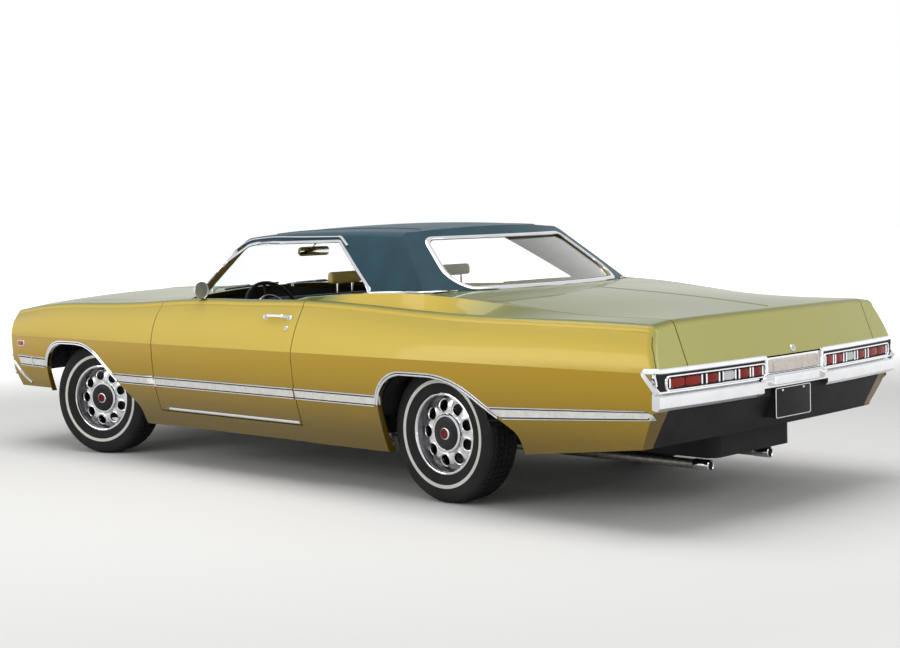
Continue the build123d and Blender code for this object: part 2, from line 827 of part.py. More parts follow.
pipe_z = 214
pipe_radius = 24
pipe_y = 250
with BuildPart() as exhaust:
    for side in (-1, 1):
        with Locations((engine_rear_x + 60, side * pipe_y, pipe_z)):
            Cylinder(
                pipe_radius, engine_rear_x + 60 - (tail_x + 340), rotation=(0, -90, 0),
                align=(Align.CENTER, Align.CENTER, Align.MIN),
            )
        with Locations((0, side * pipe_y, pipe_z - 10)):
            Cylinder(48, 620, rotation=(0, 90, 0))
        hang = sorted((side * (pipe_y - 8), side * (pipe_y + 8)))
        add(plan_box(500, 530, hang[0], hang[1], pipe_z, floor_z - sheet - seam))
        add(
            plan_box(
                rear_axle_x - 500, rear_axle_x - 470, hang[0], hang[1], pipe_z,
                trunk_floor_z - sheet - seam,
            )
        )
exhaust.part.label = "exhaust"
export_step(exhaust.part, "parts/exhaust.step")

# Wheels, tyres and knuckles
with BuildPart() as wheel:
    with BuildSketch(Plane.XY):
        with BuildLine():
            Polyline(
                (rim_radius + 6, 84), (rim_radius, 86), (rim_radius - 10, 74), (rim_radius - 16, 66),
                (rim_radius - 28, 30), (rim_radius - 28, -60), (rim_radius - 14, -74),
                (rim_radius - 4, -84), (rim_radius + 6, -84), (rim_radius + 6, -76),
                (rim_radius - 4, -70), (rim_radius - 20, -58), (rim_radius - 20, 28),
                (rim_radius - 6, 62), (rim_radius + 6, 74), close=True,
            )
        make_face()
        with BuildLine():
            Polyline(
                (spindle_radius + pin_clearance, -50), (drum_radius, -50), (drum_radius, -6), (64, -6),
                (64, 18), (104, 28), (rim_radius - 24, 32), (rim_radius - 24, 44), (122, 54), (104, 58),
                (98, 74), (60, 82), (0, 84), (0, 60), (spindle_radius + pin_clearance, 60), close=True,
            )
        make_face()
    revolve(axis=Axis.Y)
    for index in range(wheel_holes):
        turn = radians(90 + index * 360 / wheel_holes)
        with Locations((wheel_hole_circle * cos(turn), 44, wheel_hole_circle * sin(turn))):
            Cylinder(wheel_hole_radius, 60, rotation=(90, 0, 0), mode=Mode.SUBTRACT)

tyre_seat = rim_radius + 6 + seam
with BuildPart() as tyre:
    with BuildSketch(Plane.XY):
        with BuildLine():
            Polyline(
                (tyre_seat, -80), (tyre_seat + 24, -93), (285, -tyre_width / 2), (322, -99),
                (tyre_radius - 8, -82), (tyre_radius, -60), (tyre_radius, 60), (tyre_radius - 8, 82),
                (322, 99), (285, tyre_width / 2), (tyre_seat + 24, 93), (tyre_seat, 80), close=True,
            )
        make_face()
    revolve(axis=Axis.Y)

with BuildPart() as knuckle:
    with Locations((0, 0, (arm_low + arm_thick + arm_high) / 2 - tyre_radius)):
        Cylinder(26, arm_high - arm_low - arm_thick - 2 * pin_clearance)
        Cylinder(kingpin_radius, arm_high - arm_low + arm_thick + 8)
    with Locations((0, 0, 0)):
        Cylinder(
            spindle_radius, kingpin_inset + 40, rotation=(-90, 0, 0),
            align=(Align.CENTER, Align.CENTER, Align.MIN),
        )
    with Locations((0, 34, 0)):
        Cylinder(drum_radius - 8, 8, rotation=(90, 0, 0))

for side, label in ((1, "left"), (-1, "right")):
    turned = Location((0, 0, 0), (0, 0, 0 if side > 0 else 180))
    steered = Location((front_axle_x, side * kingpin_y, tyre_radius), (0, 0, rest_steer))
    out = Location((0, side * kingpin_inset, 0))
    rear = Location((rear_axle_x, side * rear_wheel_y, tyre_radius))
    for kind, piece in (("wheel", wheel), ("tyre", tyre)):
        for end, place in (("front", steered * out), ("rear", rear)):
            moved = piece.part.moved(place * turned)
            moved.label = kind + "_" + end + "_" + label
            export_step(moved, "parts/" + moved.label + ".step")
    upright = knuckle.part.moved(steered * turned)
    upright.label = "knuckle_" + label
    export_step(upright, "parts/" + upright.label + ".step")

# Bumpers, lamps and grille, all turned about the bowed ends
rear_seat_face = body_tail_x + 26 - seam
with BuildPart() as bumper_rear:
    with BuildSketch(Plane.XZ):
        with BuildLine():
            Polyline(
                (rear_seat_face, rear_bar_bottom), (tail_x + 14, rear_bar_bottom - 6),
                (tail_x, rear_bar_bottom + 8), (tail_x, rear_bar_top - 12), (tail_x + 16, rear_bar_top + 2),
                (tail_x + 18, lamp_top - 1), (rear_seat_face, lamp_top - 1), close=True,
            )
        make_face()
    revolve(axis=tail_axis)
    add(plan_box(-far, tail_x + 300, -half_width + 20, half_width - 20, 0, far), mode=Mode.INTERSECT)
    for side in (-1, 1):
        cell = sorted((side * lamp_inner, side * lamp_outer))
        add(
            plan_box(-far, 0, cell[0], cell[1], lamp_bottom, lamp_bottom + lamp_height),
            mode=Mode.SUBTRACT,
        )
    add(plan_box(-far, 0, -270, 270, 0, rear_bar_bottom + 28), mode=Mode.SUBTRACT)
    for side in (-1, 1):
        with Locations((body_tail_x + 36, side * 560, lamp_top + 1 - seam)):
            Box(14, 40, 10)
bumper_rear.part.label = "bumper_rear"
export_step(bumper_rear.part, "parts/bumper_rear.step")

# Grooves between the lamp cells, as shares of the lamp's length from its outer end
with BuildPart() as lamp_slots:
    for side in (-1, 1):
        for share in lamp_dividers:
            across = lamp_outer - share * (lamp_outer - lamp_inner)
            with Locations((tail_x, side * across, lamp_bottom)):
                Box(600, lamp_groove, lamp_height * 4)

with BuildPart() as lamp_grooves:
    with BuildSketch(Plane.XZ):
        with Locations((tail_x + 15, lamp_bottom + lamp_height / 2)):
            Rectangle(lamp_groove_depth * 2, lamp_height * 2)
    revolve(axis=tail_axis)
    add(lamp_slots.part, mode=Mode.INTERSECT)

with BuildPart() as tail_lamps:
    with BuildSketch(Plane.XZ):
        with BuildLine():
            Polyline(
                (rear_seat_face, lamp_bottom + seam), (tail_x + 14, lamp_bottom + seam),
                (tail_x + 14, lamp_bottom + lamp_height - seam),
                (rear_seat_face, lamp_bottom + lamp_height - seam), close=True,
            )
        make_face()
    revolve(axis=tail_axis)
    add(plan_box(-far, tail_x + 300, -lamp_outer + seam, lamp_outer - seam, 0, far), mode=Mode.INTERSECT)
    add(plan_box(-far, 0, -lamp_inner - seam, lamp_inner + seam, 0, far), mode=Mode.SUBTRACT)
    add(lamp_grooves.part, mode=Mode.SUBTRACT)
tail_lamps.part.label = "tail_lamps"
export_step(tail_lamps.part, "parts/tail_lamps.step")

front_seat_face = body_nose_x + seam
with BuildPart() as bumper_front:
    with BuildSketch(Plane.XZ):
        with BuildLine():
            Polyline(
                (front_seat_face, front_bar_bottom + 40), (nose_x - 30, front_bar_bottom),
                (nose_x - 8, front_bar_bottom), (nose_x, front_bar_bottom + 20),
                (nose_x, front_bar_top - 18), (nose_x - 10, front_bar_top), (front_seat_face, front_bar_top),
                close=True,
            )
        make_face()
    revolve(axis=nose_axis)
    add(plan_box(front_axle_x + 500, far, -half_width + 50, half_width - 50, 0, far), mode=Mode.INTERSECT)
bumper_front.part.label = "bumper_front"
export_step(bumper_front.part, "parts/bumper_front.step")

grille_half = half_width - 92 - seam
grille_bottom = front_bar_top + 8
grille_top = hood_lip_height - 2 * shut_gap
with BuildPart() as grille:
    with BuildSketch(Plane.XZ):
        with Locations((body_nose_x - 40, (grille_bottom + grille_top) / 2)):
            Rectangle(24, grille_top - grille_bottom)
    revolve(axis=nose_axis)
    add(plan_box(front_axle_x + 500, far, -grille_half, grille_half, 0, far), mode=Mode.INTERSECT)
    bars = 7
    pitch = (grille_top - grille_bottom - 20) / bars
    for index in range(bars):
        low = grille_bottom + 10 + index * pitch
        add(
            plan_box(0, far, -headlamp_rows[0] + 96, headlamp_rows[0] - 96, low + 5, low + pitch - 5),
            mode=Mode.SUBTRACT,
        )
    for side in (-1, 1):
        for row in headlamp_rows:
            with Locations((body_nose_x - 60, side * row, headlamp_height)):
                Cylinder(headlamp_radius + seam, 300, rotation=(0, 90, 0), mode=Mode.SUBTRACT)
grille.part.label = "grille"
export_step(grille.part, "parts/grille.step")

with BuildPart() as headlamps:
    for side in (-1, 1):
        for row in headlamp_rows:
            bow = nose_plan_radius - sqrt(nose_plan_radius ** 2 - row ** 2)
            with Locations((body_nose_x - 58 - bow, side * row, headlamp_height)):
                Cylinder(headlamp_radius, 76, rotation=(0, 90, 0))
headlamps.part.label = "headlamps"
export_step(headlamps.part, "parts/headlamps.step")

# Seats, dashboard, column, steering wheel and mirror
with BuildPart() as front_seat:
    with BuildSketch(Plane.XZ) as side_view:
        with BuildLine():
            Polyline(
                (seat_x + 40, floor_z + 60), (seat_x + 70, seat_height - 130),
                (seat_x + 40, seat_height - 15), (seat_x - 390, seat_height - 60),
                (seat_x - 530, seat_back_top), (seat_x - 620, seat_back_top),
                (seat_x - 570, floor_z + 60), close=True,
            )
        make_face()
        fillet(side_view.vertices(), 34)
    extrude(amount=bench_half, both=True)
    add(plan_box(seat_x - 540, seat_x, -bench_half + 60, bench_half - 60, floor_z, floor_z + 90))
    for side in (-1, 1):
        with Locations((seat_x - 585, side * headrest_y, headrest_top - headrest_height / 2)):
            Box(76, headrest_width, headrest_height)
        with Locations((seat_x - 580, side * headrest_y, seat_back_top)):
            Cylinder(9, 160)
    add(plan_box(-far, far, -tunnel_half - 6, tunnel_half + 6, 0, tunnel_top + 6), mode=Mode.SUBTRACT)
front_seat.part.label = "front_seat"
export_step(front_seat.part, "parts/front_seat.step")

with BuildPart() as rear_seat:
    with BuildSketch(Plane.XZ) as side_view:
        with BuildLine():
            Polyline(
                (rear_seat_x, rear_floor_z + seam), (rear_seat_x + 40, rear_floor_z + 60),
                (rear_seat_x, seat_height + 40), (bulkhead_x + 190, seat_height),
                (bulkhead_x + 60, belt_height - 50), (bulkhead_x + seam, belt_height - 50),
                (bulkhead_x + seam, rear_floor_z + seam), close=True,
            )
        make_face()
        fillet([v for v in side_view.vertices() if v.X > bulkhead_x + 10], 30)
    extrude(amount=560, both=True)
    add(plan_box(-far, far, -tunnel_half - 6, tunnel_half + 6, 0, tunnel_top + 6), mode=Mode.SUBTRACT)
rear_seat.part.label = "rear_seat"
export_step(rear_seat.part, "parts/rear_seat.step")

wheel_x = door_front_x - 395
wheel_z = 880
lean = radians(column_slope)
column_way = Vector(cos(lean), 0, -sin(lean))
column_plane = Plane(origin=(wheel_x, steering_y, wheel_z), x_dir=(0, 1, 0), z_dir=column_way)
column_length = (firewall_x - seam - wheel_x) / cos(lean)

with BuildPart() as dashboard:
    with BuildSketch(Plane.XZ) as side_view:
        with BuildLine():
            Polyline(
                (firewall_x - seam, 660), (firewall_x - seam, belt_height - 50),
                (firewall_x - 200, belt_height - 40), (firewall_x - 255, belt_height - 100),
                (firewall_x - 240, belt_height - 230), (firewall_x - 160, 700), close=True,
            )
        make_face()
        fillet([v for v in side_view.vertices() if v.X < firewall_x - 10], 24)
    extrude(amount=floor_half - 8, both=True)
    with Locations(column_plane.location):
        Cylinder(30, 1400, mode=Mode.SUBTRACT)
    add(inside, mode=Mode.INTERSECT)
dashboard.part.label = "dashboard"
export_step(dashboard.part, "parts/dashboard.step")

with BuildPart() as steering_column:
    with Locations(column_plane.location * Location((0, 0, 40))):
        Cylinder(29.6, column_length + 60, align=(Align.CENTER, Align.CENTER, Align.MIN))
    with Locations(column_plane.location):
        Cylinder(10, 60, align=(Align.CENTER, Align.CENTER, Align.MIN))
    add(plan_box(-far, firewall_x - seam, -far, far, -far, far), mode=Mode.INTERSECT)
steering_column.part.label = "steering_column"
export_step(steering_column.part, "parts/steering_column.step")

with BuildPart(column_plane) as steering_wheel:
    Torus(steering_rim_radius, steering_rim_grip)
    Box(2 * steering_rim_radius, 34, 10)
    with Locations((0, 0, 12)):
        Cylinder(38, 48)
    with Locations((0, 0, 40)):
        Cylinder(10 + pin_clearance, 80, mode=Mode.SUBTRACT)
steering_wheel.part.label = "steering_wheel"
export_step(steering_wheel.part, "parts/steering_wheel.step")

mirror_x = door_front_x - 385
mirror_radius = 50
with BuildPart() as door_mirror:
    with Locations((mirror_x, half_width - 92, belt_height + mirror_radius - 6)):
        Cylinder(mirror_radius, 44, rotation=(0, 90, 0))
    fillet(door_mirror.edges().filter_by(GeomType.CIRCLE), 14)
    with Locations((mirror_x, half_width - 117, belt_height - 10)):
        Cone(24, 12, 70)
    add(lower_body(-seam), mode=Mode.SUBTRACT)
door_mirror.part.label = "door_mirror"
export_step(door_mirror.part, "parts/door_mirror.step")
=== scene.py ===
import json
import math

import bmesh
import bpy
from mathutils import Matrix, Vector
from mathutils.bvhtree import BVHTree


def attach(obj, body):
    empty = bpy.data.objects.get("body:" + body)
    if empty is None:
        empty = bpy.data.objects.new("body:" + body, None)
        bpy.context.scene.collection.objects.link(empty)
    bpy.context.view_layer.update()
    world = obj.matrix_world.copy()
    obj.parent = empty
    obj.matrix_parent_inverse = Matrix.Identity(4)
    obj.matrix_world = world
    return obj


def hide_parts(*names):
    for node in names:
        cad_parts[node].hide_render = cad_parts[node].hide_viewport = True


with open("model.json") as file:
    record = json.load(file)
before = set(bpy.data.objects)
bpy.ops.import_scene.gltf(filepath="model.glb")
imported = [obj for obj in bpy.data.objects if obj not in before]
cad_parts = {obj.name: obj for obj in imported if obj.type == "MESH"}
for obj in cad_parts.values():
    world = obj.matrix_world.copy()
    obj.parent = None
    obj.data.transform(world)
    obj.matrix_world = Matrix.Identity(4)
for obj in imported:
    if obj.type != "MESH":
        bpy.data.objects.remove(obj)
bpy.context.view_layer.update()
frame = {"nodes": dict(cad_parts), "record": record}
nodes = frame["nodes"]
scene = bpy.context.scene
print("frame loaded:", len(nodes), "nodes")

# camera: solved on the wheel centres and body lines of the photograph
viewpoint = {
    "place": (-7.015, 6.5385, 1.4587), "yaw": -45.149, "pitch": -3.978, "roll": -1.771,
    "focalPixels": 1626.5, "imageWidth": 900, "sensor": 36.0, "clipEnd": 200,
}


def addObject(name, data):
    thing = bpy.data.objects.new(name, data)
    scene.collection.objects.link(thing)
    return thing


def setCamera():
    yaw, pitch, roll = (math.radians(viewpoint[k]) for k in ("yaw", "pitch", "roll"))
    ahead = Vector((math.cos(pitch) * math.cos(yaw), math.cos(pitch) * math.sin(yaw), math.sin(pitch)))
    flatRight = Vector((math.sin(yaw), -math.cos(yaw), 0))
    flatUp = flatRight.cross(ahead)
    right = flatRight * math.cos(roll) + flatUp * math.sin(roll)
    up = flatUp * math.cos(roll) - flatRight * math.sin(roll)
    data = bpy.data.cameras.new("photoCamera")
    data.sensor_width = viewpoint["sensor"]
    data.lens = viewpoint["focalPixels"] / viewpoint["imageWidth"] * viewpoint["sensor"]
    data.clip_end = viewpoint["clipEnd"]
    camera = addObject("photoCamera", data)
    turn = Matrix((right, up, -ahead)).transposed().to_4x4()
    camera.matrix_world = Matrix.Translation(viewpoint["place"]) @ turn
    scene.camera = camera


setCamera()


# node trees: settings first, then values and links by socket
def addNode(tree, kind, links=None, values=None, **settings):
    node = tree.nodes.new(kind)
    for key, value in settings.items():
        setattr(node, key, value)
    for socket, value in (values or {}).items():
        node.inputs[socket].default_value = value
    for socket, source in (links or {}).items():
        tree.links.new(source, node.inputs[socket])
    return node


# finishes: each starts from a Principled shader and adds pattern on Object coordinates
def newFinish(name, colour, rough, metallic=0.0, **sockets):
    mat = bpy.data.materials.new(name)
    mat.use_nodes = True
    shade = mat.node_tree.nodes["Principled BSDF"]
    sockets.update({"Base Color": (*colour, 1), "Roughness": rough, "Metallic": metallic})
    for key, value in sockets.items():
        shade.inputs[key].default_value = value
    return mat, mat.node_tree, shade


def texCoord(tree, kind):
    return addNode(tree, "ShaderNodeTexCoord").outputs[kind]


def noisePattern(tree, scale, detail=3.0):
    where = texCoord(tree, "Object")
    tex = addNode(tree, "ShaderNodeTexNoise", {"Vector": where}, {"Scale": scale, "Detail": detail})
    return tex.outputs["Fac"]


def varyColour(tree, shade, value, dark, light):
    ramp = addNode(tree, "ShaderNodeValToRGB", {"Fac": value})
    for element, position, colour in zip(ramp.color_ramp.elements, (0.3, 0.7), (dark, light)):
        element.position = position
        element.color = (*colour, 1)
    tree.links.new(ramp.outputs["Color"], shade.inputs["Base Color"])


def varyRough(tree, shade, value, low, high):
    spread = addNode(tree, "ShaderNodeMapRange", {"Value": value}, {"To Min": low, "To Max": high})
    tree.links.new(spread.outputs["Result"], shade.inputs["Roughness"])


def blendColour(tree, first, second, factor):
    mix = addNode(tree, "ShaderNodeMix", data_type="RGBA")
    for socket, colour in (("A", first), ("B", second)):
        if isinstance(colour, tuple):
            mix.inputs[socket].default_value = (*colour, 1)
        else:
            tree.links.new(colour, mix.inputs[socket])
    tree.links.new(factor, mix.inputs["Factor"])
    return mix.outputs["Result"]


def smoothShare(tree, value, start, end):
    share = addNode(tree, "ShaderNodeMapRange", {"Value": value}, {"From Min": start, "From Max": end},
                    interpolation_type="SMOOTHSTEP")
    return share.outputs["Result"]


# gold paint: side is the paint's own colour; the shoulder colour is a painted highlight on faces turned a
# little up
goldPaint = {
    "side": (0.44, 0.272, 0.004), "shoulderHighlight": (0.6, 0.44, 0.06), "top": (0.1, 0.12, 0.006),
    # the under colour is painted shade on faces turned down
    "rear": (0.43, 0.415, 0.12), "under": (0.13, 0.085, 0.004), "rough": 0.34, "roughSpread": 0.05,
    "metallic": 0.15,
    "coat": {"Coat Weight": 0.4, "Coat Roughness": 0.05, "Specular IOR Level": 0.2},
    # how far a face turns, by its normal, while one colour passes into the next; the top and rear colours are
    # a painted greenish reflection on faces turned up and back
    "shoulderHighlightSpan": (0.0, 0.24), "rearSpan": (-0.25, -0.95), "underSpan": (-0.02, -0.38),
    "topSpan": (0.35, 0.97),
    "belowBumperShadeSpan": (0.6, 0.5),   # heights where the rear gets painted shade below the bumper
    "flakeScale": 900, "flakeShare": 0.12,
}


def makeGoldPaint():
    rough, spread = goldPaint["rough"], goldPaint["roughSpread"]
    mat, tree, shade = newFinish("goldPaint", goldPaint["side"], rough, goldPaint["metallic"],
                                 **goldPaint["coat"])
    facing = addNode(tree, "ShaderNodeSeparateXYZ", {"Vector": texCoord(tree, "Normal")})
    height = addNode(tree, "ShaderNodeSeparateXYZ", {"Vector": texCoord(tree, "Object")})
    # painted shade: below the bumper the rear colour darkens into the under colour
    low = smoothShare(tree, height.outputs["Z"], *goldPaint["belowBumperShadeSpan"])
    layers = dict(goldPaint, rear=blendColour(tree, goldPaint["rear"], goldPaint["under"], low))
    colour = goldPaint["side"]
    # the side colour is blended by each face's normal into painted highlight, painted reflection and painted
    # shade
    for layer, axis in (("shoulderHighlight", "Z"), ("rear", "X"), ("under", "Z"), ("top", "Z")):
        share = smoothShare(tree, facing.outputs[axis], *goldPaint[layer + "Span"])
        colour = blendColour(tree, colour, layers[layer], share)
    flake = noisePattern(tree, goldPaint["flakeScale"], 2.0)
    depth = addNode(tree, "ShaderNodeMix", data_type="RGBA", blend_type="OVERLAY")
    depth.inputs["Factor"].default_value = goldPaint["flakeShare"]
    tree.links.new(colour, depth.inputs["A"])
    tree.links.new(flake, depth.inputs["B"])
    tree.links.new(depth.outputs["Result"], shade.inputs["Base Color"])
    varyRough(tree, shade, flake, rough - spread, rough + spread)
    return mat


grained = {"specular": 0.16, "broad": 6.0, "roughSpread": 0.06, "bump": 0.5}


def makeGrained(name, dark, light, rough, grainScale, grainDepth):
    mat, tree, shade = newFinish(name, light, rough, **{"Specular IOR Level": grained["specular"]})
    broad = noisePattern(tree, grained["broad"])
    varyColour(tree, shade, broad, dark, light)
    varyRough(tree, shade, broad, rough - grained["roughSpread"], rough + grained["roughSpread"])
    grain = addNode(tree, "ShaderNodeTexVoronoi", {"Vector": texCoord(tree, "Object")}, {"Scale": grainScale})
    bump = addNode(tree, "ShaderNodeBump", {"Height": grain.outputs["Distance"]},
                   {"Strength": grained["bump"], "Distance": grainDepth})
    tree.links.new(bump.outputs["Normal"], shade.inputs["Normal"])
    return mat


def makeMetal(name, dark, light, rough, scale=40.0):
    mat, tree, shade = newFinish(name, light, rough, 1.0)
    broad = noisePattern(tree, scale)
    varyColour(tree, shade, broad, dark, light)
    varyRough(tree, shade, broad, max(rough - 0.03, 0.02), rough + 0.03)
    return mat


def makeGlass(name, colour):
    sockets = {"Transmission Weight": 1.0, "IOR": 1.45, "Coat Weight": 0.2}
    mat, tree, shade = newFinish(name, colour, 0.02, **sockets)
    varyRough(tree, shade, noisePattern(tree, 5.0), 0.0, 0.03)
    return mat


# the lining shows where the roof faces its own middle
roofCover = {
    "vinyl": ((0.003, 0.03, 0.048), (0.008, 0.05, 0.072), 0.42, 900, 0.0006),
    "lining": (0.3, 0.22, 0.09), "middle": (-0.25, 0.0, 1.1), "liningSpan": (0.0, -0.02),
}


def makeRoofVinyl():
    mat = makeGrained("tealVinyl", *roofCover["vinyl"])
    tree = mat.node_tree
    base = tree.nodes["Principled BSDF"].inputs["Base Color"]
    away = addNode(tree, "ShaderNodeVectorMath", {0: texCoord(tree, "Object")}, {1: roofCover["middle"]},
                   operation="SUBTRACT")
    outward = addNode(tree, "ShaderNodeVectorMath", {0: away.outputs["Vector"], 1: texCoord(tree, "Normal")},
                      operation="DOT_PRODUCT")
    inside = smoothShare(tree, outward.outputs["Value"], *roofCover["liningSpan"])
    tree.links.new(blendColour(tree, base.links[0].from_socket, roofCover["lining"], inside), base)
    return mat


looks = {
    "paint": makeGoldPaint(),
    "roof_vinyl": makeRoofVinyl(),
    "glass": makeGlass("screenGlass", (0.9, 0.96, 0.94)),
    "chrome": makeMetal("brightChrome", (0.62, 0.63, 0.65), (0.68, 0.69, 0.71), 0.06, 12),
    "grille_metal": makeMetal("satinGrille", (0.36, 0.36, 0.36), (0.5, 0.5, 0.5), 0.35),
    "lamp_red": makeGrained("lampRed", (0.2, 0.009, 0.005), (0.31, 0.018, 0.01), 0.15, 260, 0.0008),
    "lamp_clear": makeGlass("lampClear", (0.92, 0.94, 0.94)),
    "tyre_rubber": makeGrained("tyreRubber", (0.012, 0.012, 0.013), (0.025, 0.025, 0.026), 0.75, 500, 0.0006),
    "chassis_black": makeGrained("chassisBlack", (0.01, 0.01, 0.011), (0.022, 0.022, 0.022), 0.6, 200,
                                 0.0008),
    "cast_iron": makeGrained("castIron", (0.05, 0.05, 0.055), (0.1, 0.1, 0.1), 0.7, 350, 0.001),
    "exhaust_steel": makeMetal("exhaustSteel", (0.22, 0.2, 0.18), (0.36, 0.34, 0.32), 0.45),
    "seat_vinyl": makeGrained("seatVinyl", (0.56, 0.44, 0.14), (0.68, 0.54, 0.2), 0.48, 700, 0.0006),
    "dash_plastic": makeGrained("dashPadding", (0.012, 0.02, 0.028), (0.025, 0.04, 0.05), 0.55, 600, 0.0006),
}
print("finishes made:", len(looks))

studio = {
    "floor": (0.8, 0.8, 0.79), "floorHalf": 60, "fade": (4.0, 10.0), "world": 0.45,
    # lamp: place, target, size, power
    "topBox": ((-0.5, 1.0, 6.0), (-0.3, 0, 0.6), (7.5, 4.0), 260),
    "sideBox": ((1.5, 7.5, 3.2), (0.2, 0.6, 0.7), (8.0, 2.6), 140),
    "rearBox": ((-8.0, -1.5, 3.4), (-2.4, 0, 0.8), (4.0, 2.4), 75),
}


def softbox(name, place, target, size, power):
    light = bpy.data.lights.new(name, "AREA")
    light.shape = "RECTANGLE"
    light.size, light.size_y = size
    light.energy = power
    aim = Vector(target) - Vector(place)
    turn = aim.to_track_quat("-Z", "Y").to_matrix().to_4x4()
    addObject(name, light).matrix_world = Matrix.Translation(place) @ turn


def seenRays(tree):
    path = addNode(tree, "ShaderNodeLightPath").outputs
    seen = path["Is Camera Ray"]
    for ray in ("Is Glossy Ray", "Is Transmission Ray"):
        seen = addNode(tree, "ShaderNodeMath", {0: seen, 1: path[ray]}, operation="MAXIMUM").outputs["Value"]
    return seen


def setStudio():
    scene.world = bpy.data.worlds.new("studioWorld")
    scene.world.use_nodes = True
    tree = scene.world.node_tree
    back = tree.nodes["Background"]
    back.inputs["Color"].default_value = (1, 1, 1, 1)
    level = addNode(tree, "ShaderNodeMapRange", {"Value": seenRays(tree)},
                    {"To Min": studio["world"], "To Max": 1.0})
    tree.links.new(level.outputs["Result"], back.inputs["Strength"])
    half = studio["floorHalf"]
    mesh = bpy.data.meshes.new("studioFloor")
    mesh.from_pydata([(-half, -half, 0), (half, -half, 0), (half, half, 0), (-half, half, 0)], [],
                     [(0, 1, 2, 3)])
    mat, tree, shade = newFinish("paleFloor", studio["floor"], 0.9, **{"Emission Color": (1, 1, 1, 1)})
    reach = addNode(tree, "ShaderNodeVectorMath", {0: texCoord(tree, "Object")}, operation="LENGTH")
    far = smoothShare(tree, reach.outputs["Value"], *studio["fade"])
    glow = addNode(tree, "ShaderNodeMath", {0: far, 1: seenRays(tree)}, operation="MULTIPLY")
    tree.links.new(glow.outputs["Value"], shade.inputs["Emission Strength"])
    mesh.materials.append(mat)
    floor = addObject("studioFloor", mesh)
    for name in ("topBox", "sideBox", "rearBox"):
        softbox(name, *studio[name])
    scene.view_settings.view_transform = "Standard"


setStudio()
slotOf = {row["node"]: row["material_slot"] for row in frame["record"]["subparts"]}
for name, node in nodes.items():
    node.data.materials.clear()
    node.data.materials.append(looks[slotOf[name]])
print("studio set")


# shared shape tools: every form is a lattice of points, swept, turned or cast on the panels
def shares(count):
    return [k / count for k in range(count + 1)]


def circle(count):
    return [2 * math.pi * k / count for k in range(count)]


def neighbours(items, i, ring):
    before = items[i - 1] if i or ring else items[i]
    after = items[(i + 1) % len(items)] if i + 1 < len(items) or ring else items[i]
    return before, after


class Shape:
    def __init__(self):
        self.points = []
        self.faces = []
        self.marks = []

    def grid(self, rows, marks=0, loop=True, ring=False, caps=True):
        base = len(self.points)
        count = len(rows[0])
        for row in rows:
            self.points.extend(Vector(p) for p in row)
        spans = len(rows) if ring else len(rows) - 1
        steps = count if loop else count - 1
        marks = [marks] * count if isinstance(marks, int) else marks
        for i in range(spans):
            a = base + i * count
            b = base + (i + 1) % len(rows) * count
            for j in range(steps):
                k = (j + 1) % count
                self.faces.append((a + j, a + k, b + k, b + j))
                self.marks.append(marks[j])
        if caps and loop and not ring:
            for start in (base, base + (len(rows) - 1) * count):
                self.faces.append(tuple(range(start, start + count)))
                self.marks.append(marks[0])
        return self

    def lathe(self, profile, place, marks=0, steps=64, loop=False):
        rows = [[place @ Vector((r * math.cos(turn), r * math.sin(turn), a)) for r, a in profile]
                for turn in circle(steps)]
        return self.grid(rows, marks, loop=loop, ring=True)

    def tube(self, path, radius, sides=10, mark=0):
        path = [Vector(p) for p in path]
        rows = []
        side = None
        for i, point in enumerate(path):
            before, after = neighbours(path, i, False)
            along = (after - before).normalized()
            if side is None:
                side = along.orthogonal().normalized()
            side = (side - along * side.dot(along)).normalized()
            over = along.cross(side)
            rows.append([point + (side * math.cos(t) + over * math.sin(t)) * radius for t in circle(sides)])
        return self.grid(rows, mark)

    def block(self, middle, size, bevel, mark=0, turn=None, corner=None):
        turn = turn or Matrix.Identity(3)
        corner = corner or bevel
        rows = []
        high = size[2] / 2
        for level, inset in (
            (-high, bevel), (-high + bevel * 0.3, bevel * 0.3), (-high + bevel, 0),
            (high - bevel, 0), (high - bevel * 0.3, bevel * 0.3), (high, bevel),
        ):
            loop = roundedRect(size[0] - 2 * inset, size[1] - 2 * inset, max(corner - inset, 0.0003))
            rows.append([Vector(middle) + turn @ Vector((u, v, level)) for u, v in loop])
        return self.grid(rows, mark)

    def twin(self, side):
        copy = Shape()
        copy.points = [Vector((p.x, p.y * side, p.z)) for p in self.points]
        copy.faces = list(self.faces)
        copy.marks = list(self.marks)
        return copy

    def both(self):
        pair, other = self.twin(1), self.twin(-1)
        base = len(pair.points)
        pair.points += other.points
        pair.faces += [tuple(base + k for k in face) for face in other.faces]
        pair.marks += other.marks
        return pair


def roundedRect(width, height, radius, steps=4):
    loop = []
    for cx, cy, start in ((1, 1, 0), (-1, 1, 90), (-1, -1, 180), (1, -1, 270)):
        for t in shares(steps):
            turn = math.radians(start + 90 * t)
            loop.append((
                cx * (width / 2 - radius) + radius * math.cos(turn),
                cy * (height / 2 - radius) + radius * math.sin(turn),
            ))
    return loop


def roundedLine(points, radius, steps=8, closed=False, reach=0.04):
    path = []
    count = len(points)
    for i in range(count):
        corner = Vector(points[i])
        if not closed and i in (0, count - 1):
            path.append(corner)
            continue
        back = Vector(points[i - 1]) - corner
        ahead = Vector(points[(i + 1) % count]) - corner
        half = back.angle(ahead) / 2
        turn = radius if isinstance(radius, float) else radius[i]
        room = min(turn / math.tan(half), back.length * 0.49, ahead.length * 0.49)
        turn = room * math.tan(half)
        middle = corner + (back.normalized() + ahead.normalized()).normalized() * turn / math.sin(half)
        entry = (corner + back.normalized() * room - middle).normalized()
        leave = (corner + ahead.normalized() * room - middle).normalized()
        path.extend(middle + entry.slerp(leave, t) * turn for t in shares(steps))
    filled = []
    for i in range(len(path) if closed else len(path) - 1):
        a, b = path[i], path[(i + 1) % len(path)]
        pieces = max(1, math.ceil((b - a).length / reach))
        filled.extend(a.lerp(b, k / pieces) for k in range(pieces))
    if not closed:
        filled.append(path[-1])
    return filled


